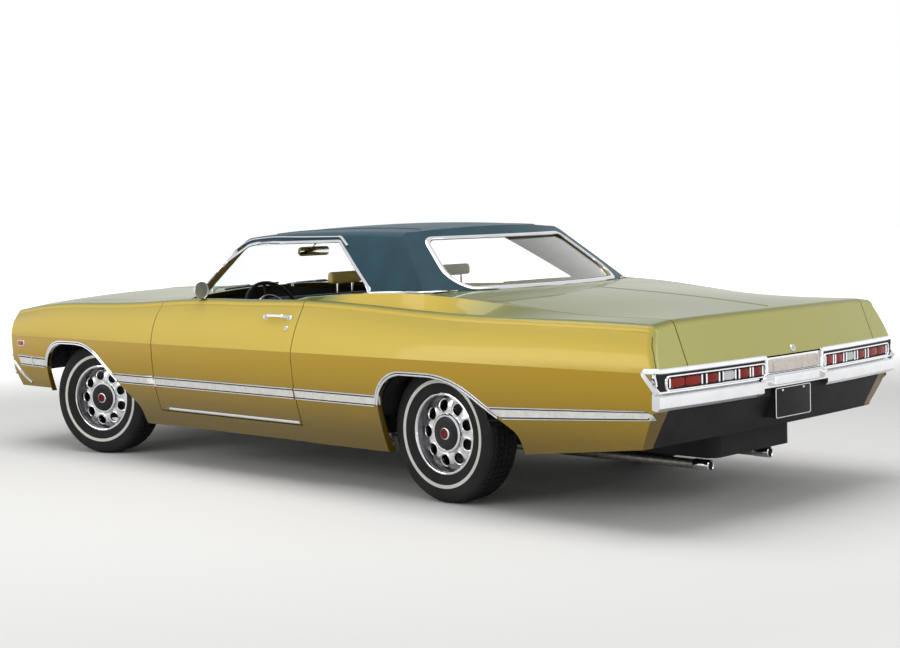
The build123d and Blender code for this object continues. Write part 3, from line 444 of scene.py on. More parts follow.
def makePiece(name, shape, body, slot, finishes=None, sharp=40, replaced=()):
    mesh = bpy.data.meshes.new(name)
    mesh.from_pydata(shape.points, [], shape.faces)
    mesh.polygons.foreach_set("material_index", shape.marks)
    return dressMesh(name, mesh, body, slot, finishes, sharp, replaced)


def dressMesh(name, mesh, body, slot, finishes=None, sharp=40, replaced=()):
    form = bmesh.new()
    form.from_mesh(mesh)
    bmesh.ops.remove_doubles(form, verts=form.verts, dist=2e-6)
    bmesh.ops.dissolve_degenerate(form, edges=form.edges, dist=1e-6)
    bmesh.ops.recalc_face_normals(form, faces=form.faces)
    mesh.materials.clear()
    for finish in finishes or [looks[slot]]:
        mesh.materials.append(finish)
    form.to_mesh(mesh)
    form.free()
    mesh.shade_smooth()
    mesh.set_sharp_from_angle(angle=math.radians(sharp))
    piece = addObject(name, mesh)
    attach(piece, body)
    if replaced:
        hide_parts(*replaced)
    return piece


def bakedMesh(holder):
    bpy.context.view_layer.update()
    ready = holder.evaluated_get(bpy.context.evaluated_depsgraph_get())
    result = bpy.data.meshes.new_from_object(ready)
    bpy.data.objects.remove(holder)
    return result


def skinOf(*names):
    points, faces = [], []
    for name in names:
        base = len(points)
        mesh = nodes[name].data
        points.extend(v.co.copy() for v in mesh.vertices)
        faces.extend([base + k for k in p.vertices] for p in mesh.polygons)
    return BVHTree.FromPolygons(points, faces)


def castOn(skin, start, way, out=0.0):
    start, way = Vector(start), Vector(way)
    hit, normal, _, _ = skin.ray_cast(start, way)
    if hit is None:
        hit, normal, _, _ = skin.find_nearest(start + way * 0.4)   # a ray that just misses an edge
    if normal.dot(way) > 0:
        normal = -normal
    return hit + normal * out, normal


sideSkin = skinOf("fender_left", "door_left", "quarter_left", "rocker_panels")
roofSkin = skinOf("roof")
bodyOfSide = {1: "left", -1: "right"}
outside = 1.4   # rays to the left side start here
inward, ahead, astern, upward, downward = (0, -1, 0), (1, 0, 0), (-1, 0, 0), (0, 0, 1), (0, 0, -1)
facingBack = Matrix(((0, 0, -1), (1, 0, 0), (0, 1, 0)))
facingFront = Matrix(((0, 0, 1), (1, 0, 0), (0, 1, 0)))
facingSide = Matrix(((1, 0, 0), (0, 0, 1), (0, 1, 0)))


def castSide(x, z, out=0.0):
    return castOn(sideSkin, (x, outside, z), inward, out)


def placed(spot, facing):
    return Matrix.Translation(spot) @ facing.to_4x4()


def aimed(normal):
    return normal.to_track_quat("Z", "Y").to_matrix()


def castBand(shape, path, normals, profile, mark=0, ring=False):
    rows = []
    for i, point in enumerate(path):
        before, after = neighbours(path, i, ring)
        across = (after - before).normalized().cross(normals[i]).normalized()
        rows.append([point + across * u + normals[i] * v for u, v in profile])
    return shape.grid(rows, mark, ring=ring)


def smoothNormals(normals, ring=False, passes=3):
    for _ in range(passes):
        fresh = []
        for i, normal in enumerate(normals):
            before, after = neighbours(normals, i, ring)
            fresh.append((before + normal * 2 + after).normalized())
        normals = fresh
    return normals


def castPath(skin, starts, way, out=0.0):
    hits = [castOn(skin, start, way, out) for start in starts]
    return [place for place, _ in hits], [normal for _, normal in hits]


def castRibbon(shape, skin, starts, way, profile, mark=0, passes=3):
    path, normals = castPath(skin, starts, way)
    return castBand(shape, path, smoothNormals(normals, passes=passes), profile, mark)


def bandProfile(half, inner, edge, top, foot):
    return [(-half, -foot), (-half, edge), (-inner, top), (inner, top), (half, edge), (half, -foot)]


def ridgeProfile(half, inner, edge, top, foot=0.001):
    return [(-half, -foot), (-inner, edge), (0.0, top), (inner, edge), (half, -foot)]


def barProfile(half, foot, top):
    return [(-half, -foot), (-half, top), (half, top), (half, -foot)]


# side moulding: bright edges, dark lines and a pale middle, split where the panels meet
sideTrim = {
    "profile": [(-1, -0.002), (-1, 0.005), (-0.93, 0.008), (-0.8, 0.008), (-0.74, 0.005), (-0.62, 0.005),
                (-0.58, 0.0065), (0.58, 0.0065), (0.62, 0.005), (0.74, 0.005), (0.8, 0.008), (0.93, 0.008),
                (1, 0.005), (1, -0.002)],
    "marks": [0, 0, 0, 0, 1, 1, 2, 1, 1, 0, 0, 0, 0, 0],
    # panel: (x, z, half height, lean) at each end, and steps between
    "fender": ((1.3835, 0.508, 0.031, 1.297), (0.9865, 0.508, 0.031, 0), 10),
    "door": ((0.974, 0.508, 0.031, 0), (-0.2945, 0.508, 0.031, 0), 26),
    "quarter": ((-0.308, 0.508, 0.031, 0), (-0.9375, 0.507, 0.031, -0.29), 14),
    "rear": ((-1.7735, 0.5, 0.029, 1.661), (-2.705, 0.548, 0.02, 1.9), 18),
    "front": ((2.49, 0.572, 0.036, 0.4), (2.18, 0.566, 0.034, -0.34), 8),
    "divider": ((2.335, 0.569, 0.03, 0), (2.325, 0.569, 0.03, 0), 1),
    "dividerProfile": barProfile(1, 0, 0.009),
    "sill": ((0.9, 0.346, 0.008, 0), (-0.29, 0.346, 0.008, 0), 24),
    "sillProfile": bandProfile(1, 0.4, 0.003, 0.006, 0.001),
}
archTrim = {
    "profile": [(-0.004, -0.016), (-0.004, 0.003), (0.0, 0.0075), (0.006, 0.0075), (0.008, 0.004),
                (0.011, 0.004), (0.013, 0.0065), (0.019, 0.0065), (0.021, 0.003), (0.021, -0.002)],
    "marks": [0, 0, 0, 0, 1, 0, 0, 0, 0, 0],
    "probe": 0.004,   # the panel is felt at least this far from its edge
    # corners (x, z), their roundings, and the heights where the lip meets the strip
    "front": ([(2.173, 0.24), (2.172, 0.697), (1.662, 0.697), (1.33, 0.441)], [0, 0.2, 0.4, 0], 0.532, 0.477),
    "rear": ([(-0.944, 0.2), (-0.948, 0.65), (-1.483, 0.65), (-1.799, 0.46)], [0, 0.198, 0.6, 0],
             0.477, 0.472),
}
trimPale = makeMetal("trimPale", (0.62, 0.62, 0.6), (0.74, 0.74, 0.72), 0.3)
trimDark = makeGrained("trimDark", (0.008, 0.008, 0.008), (0.015, 0.015, 0.015), 0.5, 300, 0.0004)
trimFinishes = [looks["chrome"], trimDark, trimPale]


def sideStrip(shape, run, profile, marks=0):
    start, end, steps = run
    rows = []
    for t in shares(steps):
        x, z, half, lean = (a + (b - a) * t for a, b in zip(start, end))
        rows.append([castSide(x + lean * u * half, z + u * half, v)[0] for u, v in profile])
    return shape.grid(rows, marks)


def archLip(shape, arch):
    corners, turns, frontEnd, rearEnd = arch
    path = roundedLine([Vector((x, 0, z)) for x, z in corners], turns, 14, reach=0.012)
    middle = (corners[1][0] + corners[2][0]) / 2
    path = [p for p in path if p.z > (frontEnd if p.x > middle else rearEnd)]
    rows = []
    for i, point in enumerate(path):
        before, after = neighbours(path, i, False)
        along = (after - before).normalized()
        outward = Vector((along.z, 0, -along.x))
        if outward.z < 0 or (abs(outward.z) < 0.1 and outward.x < 0):
            outward = -outward
        row = []
        for r, v in archTrim["profile"]:
            probe = point + outward * max(r, archTrim["probe"])
            spot = point + outward * r
            row.append((spot.x, castSide(probe.x, probe.z)[0].y + v, spot.z))
        rows.append(row)
    return shape.grid(rows, archTrim["marks"])


for side, tag in bodyOfSide.items():
    fixed, onDoor = Shape(), Shape()
    for shape, panels in ((fixed, ("fender", "quarter", "rear", "front")), (onDoor, ("door",))):
        for panel in panels:
            sideStrip(shape, sideTrim[panel], sideTrim["profile"], sideTrim["marks"])
    sideStrip(fixed, sideTrim["divider"], sideTrim["dividerProfile"])
    archLip(fixed, archTrim["front"])
    archLip(fixed, archTrim["rear"])
    makePiece("side_moulding_" + tag, fixed.twin(side), "body", "chrome", trimFinishes)
    sideStrip(onDoor, sideTrim["sill"], sideTrim["sillProfile"])
    makePiece("door_moulding_" + tag, onDoor.twin(side), "door_" + tag, "chrome", trimFinishes)
print("side mouldings made")


# one node tree repeats a seed form by a turn about Z and a step
def buildRepeatTree():
    tree = bpy.data.node_groups.new("repeatForm", "GeometryNodeTree")
    for name, kind in (("Geometry", "Geometry"), ("Count", "Int"), ("Turn Step", "Float"),
                       ("Move Step", "Vector"),
                       ("Finish", "Material")):
        tree.interface.new_socket(name, in_out="INPUT", socket_type="NodeSocket" + kind)
    tree.interface.new_socket("Geometry", in_out="OUTPUT", socket_type="NodeSocketGeometry")
    entry = addNode(tree, "NodeGroupInput").outputs
    index = addNode(tree, "GeometryNodeInputIndex").outputs["Index"]
    along = addNode(tree, "ShaderNodeVectorMath", operation="SCALE")
    tree.links.new(entry["Move Step"], along.inputs[0])
    tree.links.new(index, along.inputs["Scale"])
    dots = addNode(tree, "GeometryNodePoints", {"Count": entry["Count"], "Position": along.outputs["Vector"]})
    angle = addNode(tree, "ShaderNodeMath", {0: index, 1: entry["Turn Step"]}, operation="MULTIPLY")
    euler = addNode(tree, "ShaderNodeCombineXYZ", {"Z": angle.outputs["Value"]})
    spin = addNode(tree, "FunctionNodeEulerToRotation", {"Euler": euler.outputs["Vector"]})
    copies = addNode(tree, "GeometryNodeInstanceOnPoints", {
        "Points": dots.outputs["Points"], "Instance": entry["Geometry"],
        "Rotation": spin.outputs["Rotation"]})
    real = addNode(tree, "GeometryNodeRealizeInstances", {"Geometry": copies.outputs["Instances"]})
    finish = addNode(tree, "GeometryNodeSetMaterial", {
        "Geometry": real.outputs["Geometry"], "Material": entry["Finish"]})
    addNode(tree, "NodeGroupOutput", {"Geometry": finish.outputs["Geometry"]})
    return tree


repeatTree = buildRepeatTree()


def repeatForm(name, seed, count, finish, place):
    mesh = bpy.data.meshes.new(name + "_seed")
    mesh.from_pydata(seed.points, [], seed.faces)
    holder = addObject(name + "_seed", mesh)
    modifier = holder.modifiers.new("repeat", "NODES")
    modifier.node_group = repeatTree
    values = {"Count": count, "Turn Step": 2 * math.pi / count, "Move Step": (0, 0, 0), "Finish": finish}
    for item in repeatTree.interface.items_tree:
        if item.in_out == "INPUT" and item.name in values:
            modifier[item.identifier] = values[item.name]
    result = bakedMesh(holder)
    result.name = name
    result.transform(place)
    return result


def jointRow(name):
    return next(j for j in frame["record"]["behaviour"]["joints"] if j["name"] == name)


# wheels: local Z is the axle, outwards
wheelForm = {
    "holes": 9, "holeRadius": 0.0285, "holeCircle": 0.1415, "discInner": 0.1, "discOuter": 0.1745,
    "discLevel": 0.0585, "discFall": 0.014, "discCrown": 0.006, "lip": 0.005, "tyreRadius": 0.35,
    "pitches": 64,
    "rim": [(0.2035, 0.0845), (0.199, 0.0868), (0.194, 0.083), (0.1885, 0.0745), (0.182, 0.0665),
            (0.1755, 0.05),
            (0.1735, 0.04), (0.1735, -0.055), (0.184, -0.073), (0.194, -0.0842), (0.2035, -0.0842),
            (0.2035, -0.076), (0.194, -0.07), (0.178, -0.058), (0.178, 0.028), (0.192, 0.062),
            (0.2035, 0.074)],
    "ring": [(0.2075, 0.0845), (0.2065, 0.0885), (0.2015, 0.0905), (0.1965, 0.089), (0.1935, 0.085),
             (0.1915, 0.081), (0.1945, 0.0815), (0.1985, 0.085), (0.202, 0.0855)],
    "cap": [(0.0, 0.08), (0.012, 0.0835), (0.026, 0.0838), (0.03, 0.0818), (0.032, 0.079), (0.04, 0.0785),
            (0.058, 0.0775), (0.074, 0.074), (0.083, 0.07), (0.086, 0.0725), (0.092, 0.0725), (0.097, 0.069),
            (0.1005, 0.06), (0.102, 0.056), (0.098, 0.052), (0.0, 0.05)],
    "capMarks": [2, 2, 0, 0, 1, 1, 1, 1, 0, 0, 0, 0, 0, 1, 1],
    "drum": [(0.0, -0.006), (0.062, -0.006), (0.062, 0.004), (0.118, 0.004), (0.136, -0.004),
             (0.1375, -0.012),
             (0.1375, -0.049), (0.0, -0.049)],
    # outer half of the tyre's section, and where it is white
    "tyre": [(0.2046, 0.078), (0.21, 0.0885), (0.224, 0.0945), (0.2565, 0.1008), (0.2575, 0.1022),
             (0.265, 0.103),
             (0.2735, 0.1036), (0.2745, 0.1024), (0.285, 0.103), (0.305, 0.102), (0.322, 0.0985),
             (0.333, 0.0935),
             (0.3405, 0.086), (0.3425, 0.08)],
    "tyreMarks": [0, 0, 0, 1, 1, 1, 1, 0, 0, 0, 0, 0, 0],
    # tread rib: middle, width, slant
    "ribs": ((-0.062, 0.024, 0.2), (-0.032, 0.026, -0.2), (0.0, 0.026, 0.2), (0.032, 0.026, -0.2),
             (0.062, 0.024, 0.2)),
    "treadLevels": ((0.0075, 0.0), (0.0004, 0.0012)),   # depth below the radius, and how much narrower
    "blockShare": 0.82,
}
wheelSteel = makeMetal("wheelSteel", (0.5, 0.51, 0.52), (0.66, 0.67, 0.68), 0.16)
rimDark = makeMetal("rimDark", (0.1, 0.1, 0.11), (0.17, 0.17, 0.18), 0.3)
capDark = makeGrained("capDark", (0.012, 0.012, 0.013), (0.03, 0.03, 0.03), 0.3, 250, 0.0004)
capRed = makeGrained("capRed", (0.12, 0.006, 0.005), (0.18, 0.01, 0.008), 0.25, 200, 0.0004)
whiteBand = makeGrained("whiteBand", (0.62, 0.61, 0.57), (0.74, 0.73, 0.69), 0.6, 500, 0.0004)


def discHeight(r):
    t = (r - wheelForm["discInner"]) / (wheelForm["discOuter"] - wheelForm["discInner"])
    crown = math.sin(math.pi * min(max(t, 0), 1))
    return wheelForm["discLevel"] - wheelForm["discFall"] * t + wheelForm["discCrown"] * crown


def discSector():
    half = math.pi / wheelForm["holes"]
    inner, outer = wheelForm["discInner"], wheelForm["discOuter"]
    corners = [(inner, -half), (outer, -half), (outer, half), (inner, half)]
    middle = Vector((wheelForm["holeCircle"], 0))
    rows = [[] for _ in range(5)]
    for (r, turn), (nextR, nextTurn) in zip(corners, corners[1:] + corners[:1]):
        for t in shares(8)[:-1]:
            reach, angle = r + (nextR - r) * t, turn + (nextTurn - turn) * t
            spot = Vector((reach * math.cos(angle), reach * math.sin(angle)))
            way = (spot - middle).normalized()
            rim = middle + way * wheelForm["holeRadius"]
            lip = middle + way * (wheelForm["holeRadius"] + wheelForm["lip"])
            levels = (spot, 0.0), (spot.lerp(lip, 0.75), 0.0), (lip, 0.0022), (rim, -0.001), (rim, -0.016)
            for row, (point, rise) in zip(rows, levels):
                row.append((point.x, point.y, discHeight(point.length) + rise))
    return Shape().grid(rows, caps=False)


def treadPitch():
    shape = Shape()
    span = 2 * math.pi / wheelForm["pitches"]
    for middle, width, slant in wheelForm["ribs"]:
        rows = []
        for depth, shrink in wheelForm["treadLevels"]:
            r = wheelForm["tyreRadius"] - depth
            row = []
            for u, v in ((-1, -1), (1, -1), (1, 1), (-1, 1)):
                turn = span * (0.5 * v * wheelForm["blockShare"] + slant * u * 0.5)
                row.append((r * math.cos(turn), r * math.sin(turn), middle + u * (width / 2 - shrink)))
            rows.append(row)
        shape.grid(rows)
    return shape


def wheelPlace(joint):
    row = jointRow(joint)
    middle, axle = Vector(row["pos_m"]), Vector(row["axis"])
    if axle.y * middle.y < 0:
        axle = -axle
    across = axle.cross(Vector(upward)).normalized()
    return placed(middle, Matrix((across, axle.cross(across), axle)).transposed())


tyreProfile = wheelForm["tyre"] + [(r, -a) for r, a in reversed(wheelForm["tyre"])]
tyreMarks = wheelForm["tyreMarks"] + [0] * (len(wheelForm["tyre"]) + 1)
for corner in ("front_left", "front_right", "rear_left", "rear_right"):
    body = "wheel_" + corner
    place = wheelPlace(body + "_spin")
    rim = Shape().lathe(wheelForm["rim"], place, 0, 96, True).lathe(wheelForm["ring"], place, 1, 96, True)
    rim.lathe(wheelForm["drum"], place, 2)
    makePiece("wheel_rim_" + corner, rim, body, "chrome", [rimDark, looks["chrome"], looks["cast_iron"]], 30,
              (body,))
    name = "wheel_disc_" + corner
    disc = repeatForm(name, discSector(), wheelForm["holes"], wheelSteel, place)
    dressMesh(name, disc, body, "chrome", [wheelSteel], 50)
    cap = Shape().lathe(wheelForm["cap"], place, wheelForm["capMarks"])
    makePiece("wheel_cap_" + corner, cap, body, "chrome", [looks["chrome"], capDark, capRed], 30)
    tyre = Shape().lathe(tyreProfile, place, tyreMarks, 96, True)
    makePiece("tyre_" + corner + "_body", tyre, body, "tyre_rubber", [looks["tyre_rubber"], whiteBand], 30,
              ("tyre_" + corner,))
    name = "tread_" + corner
    tread = repeatForm(name, treadPitch(), wheelForm["pitches"], looks["tyre_rubber"], place)
    dressMesh(name, tread, body, "tyre_rubber", sharp=30)
print("wheels made")

# rear end: everything follows the bow of the tail
tail = {"axis": 5.812, "bezel": -2.786, "lens": -2.79, "bar": -2.804}


def onTail(face, y, z, out=0.0):
    return Vector((tail["axis"] - math.sqrt((tail["axis"] - face + out) ** 2 - y * y), y, z))


def tailLoop(shape, yMid, zMid, width, height, corner, band, depth, face):
    rows = []
    loop = roundedLine([Vector((yMid + sy * width / 2, 0, zMid + sz * height / 2))
                        for sy, sz in ((-1, -1), (1, -1), (1, 1), (-1, 1))], corner, 5, True, 0.03)
    section = ((0, -0.006), (0, depth * 0.6), (0.25, depth), (0.75, depth), (1, depth * 0.6), (1, -0.006))
    for i, point in enumerate(loop):
        before, after = neighbours(loop, i, True)
        along = (after - before).normalized()
        outward = Vector((along.z, 0, -along.x))
        spots = [(point + outward * r * band, v) for r, v in section]
        rows.append([onTail(face, spot.x, spot.z, v) for spot, v in spots])
    return shape.grid(rows, ring=True)


def tailPanel(shape, yFrom, yTo, zFrom, zTo, face, depth, bevel, mark=0, steps=8):
    rows = []
    profile = [(zFrom, -0.005), (zFrom, depth - bevel), (zFrom + bevel, depth), (zTo - bevel, depth),
               (zTo, depth - bevel), (zTo, -0.005)]
    for t in shares(steps):
        y = yFrom + (yTo - yFrom) * t
        inset = bevel if t in (0, 1) else 0.0
        row = []
        for z, v in profile:
            z += inset if z < (zFrom + zTo) / 2 else -inset
            row.append(onTail(face, y, z, v - (inset if v > 0 else 0)))
        rows.append(row)
    return shape.grid(rows, mark)


rearLamp = {
    "inner": 0.254, "outer": 0.926, "low": 0.6615, "high": 0.7085,
    # shares of the lamp from its outer end, and whether the cell is clear
    "cells": [(0.035, 0.165, 0), (0.175, 0.325, 0), (0.39, 0.5, 0), (0.56, 0.67, 1), (0.73, 0.83, 0),
              (0.88, 0.97, 0)],
    "bars": (0.025, 0.38, 0.55, 0.72, 0.87, 0.335, 0.51, 0.68, 0.84, 0.98), "barHalf": 0.006,
    # frame round the cells: middle and height, then its corner, band and depth
    "frame": (0.685, 0.05, (0.014, 0.011, 0.013)), "darkPanel": (0.236, 0.962, 0.6445, 0.7345),
    # outer bezel: up the slanted leg on the flank, round the corner, along the rear and down
    "wrap": [(-2.738, 0.99, 0.642), (-2.655, 0.992, 0.7395), (-2.7, 0.988, 0.7395), (-2.7275, 0.966, 0.7395)],
    "bezelTop": 0.7395, "bezelRun": (0.93, 0.88, 0.8, 0.7, 0.6, 0.5, 0.4, 0.3, 0.236),
    "bezelEnd": (0.234, (0.7, 0.655)), "wrapBand": bandProfile(0.012, 0.008, 0.006, 0.01, 0.004),
    "flank": (0.985, 0.045),   # where the bezel starts to turn to the rear, and over what width
    # painted shade in the gap round the corner, a dark band laid on the bumper: heights and the angles where
    # it starts, and where it ends
    "cornerMiddle": (-2.62, 0.86, 0), "gapEnd": 178,
    "gapEdge": [(0.65, 138), (0.67, 132), (0.69, 127), (0.71, 121), (0.731, 115)],
}
bumperSkin = skinOf("bumper_rear")


# a dark band laid just over the bumper skin is painted shade for the gap between bumper and body
def cornerGapShade(shape):
    rows = []
    middle = Vector(rearLamp["cornerMiddle"])
    for z, start in rearLamp["gapEdge"]:
        row = []
        for t in shares(16):
            turn = math.radians(start + (rearLamp["gapEnd"] - start) * t)
            way = Vector((math.cos(turn), math.sin(turn), 0))
            row.append(castOn(bumperSkin, middle + way * 0.5 + Vector((0, 0, z)), -way, 0.0012)[0])
        rows.append(row)
    return shape.grid(rows, 4, loop=False)


def lampForm():
    lamp = Shape()
    inner, outer, low, high = (rearLamp[k] for k in ("inner", "outer", "low", "high"))
    lens, bezel = tail["lens"], tail["bezel"]
    length = outer - inner
    tailPanel(lamp, inner - 0.002, outer + 0.004, low - 0.002, high + 0.002, lens, -0.004, 0.001, 2)
    for start, end, clear in rearLamp["cells"]:
        tailPanel(lamp, outer - end * length, outer - start * length, low + 0.003, high - 0.003, lens,
                  0.006, 0.0035, 3 if clear else 1, 4)
    for share in rearLamp["bars"]:
        y, half = outer - share * length, rearLamp["barHalf"]
        tailPanel(lamp, y - half, y + half, low, high, lens, 0.008, 0.003, 0, 2)
    frameMiddle, frameHeight, frameForm = rearLamp["frame"]
    tailLoop(lamp, (inner + outer) / 2, frameMiddle, length + 0.002, frameHeight, *frameForm, bezel)
    tailPanel(lamp, *rearLamp["darkPanel"], bezel, 0.0012, 0.0006, 4, 10)
    endY, endHeights = rearLamp["bezelEnd"]
    corners = [Vector(p) for p in rearLamp["wrap"]]
    corners += [onTail(bezel, y, rearLamp["bezelTop"]) for y in rearLamp["bezelRun"]]
    corners += [onTail(bezel, endY, z) for z in endHeights]
    path = roundedLine(corners, 0.012, 4, reach=0.05)
    turnY, turnWidth = rearLamp["flank"]
    outward = [Vector((0, 1, 0)).lerp(Vector(astern), min(max((turnY - p.y) / turnWidth, 0), 1)).normalized()
               for p in path]
    castBand(lamp, path, smoothNormals(outward), rearLamp["wrapBand"])
    return cornerGapShade(lamp)


lampBack = makeMetal("lampBack", (0.45, 0.46, 0.47), (0.6, 0.6, 0.6), 0.25)
lensClear = makeGrained("lensClear", (0.55, 0.6, 0.58), (0.72, 0.76, 0.74), 0.2, 320, 0.0008)
for side, tag in bodyOfSide.items():
    makePiece("tail_lamp_" + tag, lampForm().twin(side), "body", "lamp_red",
              [looks["chrome"], looks["lamp_red"], lampBack, lensClear, trimDark], 35,
              ("tail_lamps",) if side > 0 else ())

# applique, bumper centre and blank plate
rearMiddle = {
    "half": 0.222, "low": 0.664, "high": 0.728, "ribHalf": 0.214, "ribs": 9, "ribStart": 0.668,
    "ribStep": 0.0064,
    "ribHeight": 0.0034, "bar": (-0.272, 0.272, 0.601, 0.66),
    "plate": (-2.7765, 0, 0.518), "plateSize": (0.305, 0.152, 0.004), "plateCorner": 0.012,
    # border: outline, then x and the shares of width and height for each edge
    "border": (0.296, 0.143, 0.01),
    "borderEdges": ((-2.778, 1, 1), (-2.7798, 0.993, 0.988), (-2.7798, 0.97, 14 / 15 * 1.012),
                    (-2.778, 0.963, 14 / 15)),
}
applique = makeMetal("applique", (0.52, 0.48, 0.44), (0.66, 0.61, 0.56), 0.38, 60)
plateDark = makeGrained("plateDark", (0.01, 0.01, 0.012), (0.02, 0.02, 0.022), 0.4, 300, 0.0003)
centre = tailPanel(Shape(), -rearMiddle["half"], rearMiddle["half"], rearMiddle["low"], rearMiddle["high"],
                   tail["bezel"], 0.006, 0.003, 0, 12)
for k in range(rearMiddle["ribs"]):
    z = rearMiddle["ribStart"] + k * rearMiddle["ribStep"]
    tailPanel(centre, -rearMiddle["ribHalf"], rearMiddle["ribHalf"], z, z + rearMiddle["ribHeight"],
              tail["bezel"],
              0.0078, 0.0012, 0, 12)
makePiece("tail_applique", centre, "body", "grille_metal", [applique], 35)
bar = tailPanel(Shape(), *rearMiddle["bar"], tail["bar"], 0.004, 0.01, 0, 12)
makePiece("bumper_centre", bar, "body", "chrome", sharp=35)
plate = Shape().block(rearMiddle["plate"], rearMiddle["plateSize"], 0.0015, 0, facingBack,
                      rearMiddle["plateCorner"])
makePiece("plate_blank", plate, "body", "chassis_black", [plateDark])
z = rearMiddle["plate"][2]
rows = [[(x, u * wide, z + v * tall) for x, wide, tall in rearMiddle["borderEdges"]]
        for u, v in roundedRect(*rearMiddle["border"])]
border = Shape().grid(rows, ring=True)
makePiece("plate_border", border, "body", "chrome", [trimPale])
print("rear end made")

# windows: bright mouldings cast on the roof and its pillars
windowTrim = {
    "side": [(0.776, 1.008), (0.7, 1.1), (0.542, 1.278), (0.4, 1.306), (-0.342, 1.312), (-0.745, 1.06),
             (-0.745, 1.022)],
    "sideTurns": [0, 0.5, 0.15, 0.4, 0.03, 0.03, 0],
    "drip": [(0.776, 1.025), (0.711, 1.1), (0.56, 1.276), (0.47, 1.322), (0.25, 1.336), (-0.34, 1.334),
             (-0.43, 1.285)],
    "dripTurns": [0, 0.5, 0.25, 0.3, 0.5, 0.08, 0],
    "dripBand": [(-0.006, -0.003), (-0.006, 0.006), (0.0, 0.012), (0.006, 0.01), (0.006, -0.003)],
    "vinyl": [(-0.6, 1.034), (-0.76, 1.041), (-1.166, 1.05), (-1.3, 1.047)],
    # behind the rear window: half width and height, and the furthest x that still lies on the roof
    "vinylBack": (0.74, 1.046), "vinylLimit": -1.1,
    # a ray that gets past openY went through the side window
    "openY": 0.4, "pillarY": 0.83, "grow": 0.008,
    # screen: low and high edge, half widths there, corner rounding, start and way of the rays, closed or not
    "rearScreen": (1.068, 1.308, 0.652, 0.528, 0.07, -3.0, ahead, True),
    "frontScreen": (0.985, 1.318, 0.775, 0.592, 0.06, 3.0, astern, False),
}
flatBand = bandProfile(0.009, 0.006, 0.003, 0.006, 0.003)
wideBand = [(u * 1.5, v) for u, v in flatBand]
thinBand = [(u * 0.6, v) for u, v in flatBand]


def sidePath(points, corner):
    path, normals = [], []
    for spot in roundedLine([Vector((x, 0, z)) for x, z in points], corner, 6, reach=0.03):
        place, normal = castOn(roofSkin, (spot.x, outside, spot.z), inward)
        if place.y < windowTrim["openY"]:
            place, normal, _, _ = roofSkin.find_nearest(Vector((spot.x, windowTrim["pillarY"], spot.z)))
            normal = normal if normal.y > 0 else -normal
        path.append(place)
        normals.append(normal)
    return path, smoothNormals(normals)


def screenPath(low, high, lowHalf, highHalf, corner, fromX, way, closed):
    grow = windowTrim["grow"]
    outline = [Vector((0, y, z)) for y, z in (
        (-lowHalf - grow, low - grow), (-highHalf - grow, high + grow), (highHalf + grow, high + grow),
        (lowHalf + grow, low - grow))]
    starts = [(fromX, spot.y, spot.z) for spot in roundedLine(outline, corner, 7, closed, 0.03)]
    path, normals = castPath(roofSkin, starts, way)
    return path, smoothNormals(normals, closed)


for side, tag in bodyOfSide.items():
    trim = Shape()
    castBand(trim, *sidePath(windowTrim["side"], windowTrim["sideTurns"]), flatBand)
    castBand(trim, *sidePath(windowTrim["drip"], windowTrim["dripTurns"]), windowTrim["dripBand"])
    makePiece("window_moulding_" + tag, trim.twin(side), "body", "chrome")
screens = Shape()
for screen in (windowTrim["rearScreen"], windowTrim["frontScreen"]):
    castBand(screens, *screenPath(*screen), wideBand, 0, screen[-1])
makePiece("screen_mouldings", screens, "body", "chrome")
left = list(zip(*sidePath(windowTrim["vinyl"], 0.2)))
backHalf, backHeight = windowTrim["vinylBack"]
back = zip(*castPath(roofSkin, [(-3.0, backHalf - 2 * backHalf * t, backHeight) for t in shares(40)], ahead))
edge = left + [(place, normal) for place, normal in back if place.x < windowTrim["vinylLimit"]]
edge += [tuple(Vector((v.x, -v.y, v.z)) for v in pair) for pair in reversed(left)]
path, normals = zip(*edge)
makePiece("vinyl_edge", castBand(Shape(), path, smoothNormals(normals, passes=6), thinBand), "body", "chrome")
print("window mouldings made")

# seats: pads swollen by a cloth simulation, then sewn into pleats
padForm = {
    "pressure": 4.0, "lastFrame": 20, "cap": 0.022, "voxel": 0.015, "fineVoxel": 0.008, "bevel": 0.016,
    "pleatStep": 0.112, "pleatHalf": 0.016, "pleatDepth": 0.007, "border": 0.1, "facing": 0.4,
    # pad: outline (x, z), from and to across the car, face that is sewn, lowest point
    "front_cushion": ([(0.062, 0.452), (0.078, 0.486), (0.47, 0.52), (0.496, 0.47), (0.49, 0.452)],
                      (-0.665, 0.665), (0.08, 0, 1), 0.443),
    "front_backrest": ([(0.04, 0.505), (-0.084, 0.985), (-0.142, 0.985), (-0.1, 0.47), (0.026, 0.47)],
                       (-0.665, 0.665), (0.97, 0, 0.25), 0.455),
    "rear_cushion": ([(-0.682, 0.506), (-0.676, 0.556), (-0.704, 0.58), (-1.06, 0.545), (-1.08, 0.506)],
                     (-0.535, 0.535), (-0.09, 0, 1), 0.495),
    "rear_backrest": ([(-1.1, 0.575), (-1.21, 0.93), (-1.246, 0.93), (-1.246, 0.525), (-1.112, 0.525)],
                      (-0.535, 0.535), (0.95, 0, 0.3), 0.5),
    "headrest": ([(-0.1, 1.072), (-0.106, 1.138), (-0.146, 1.138), (-0.15, 1.072)], (0.325, 0.56), None,
                 1.05),
}


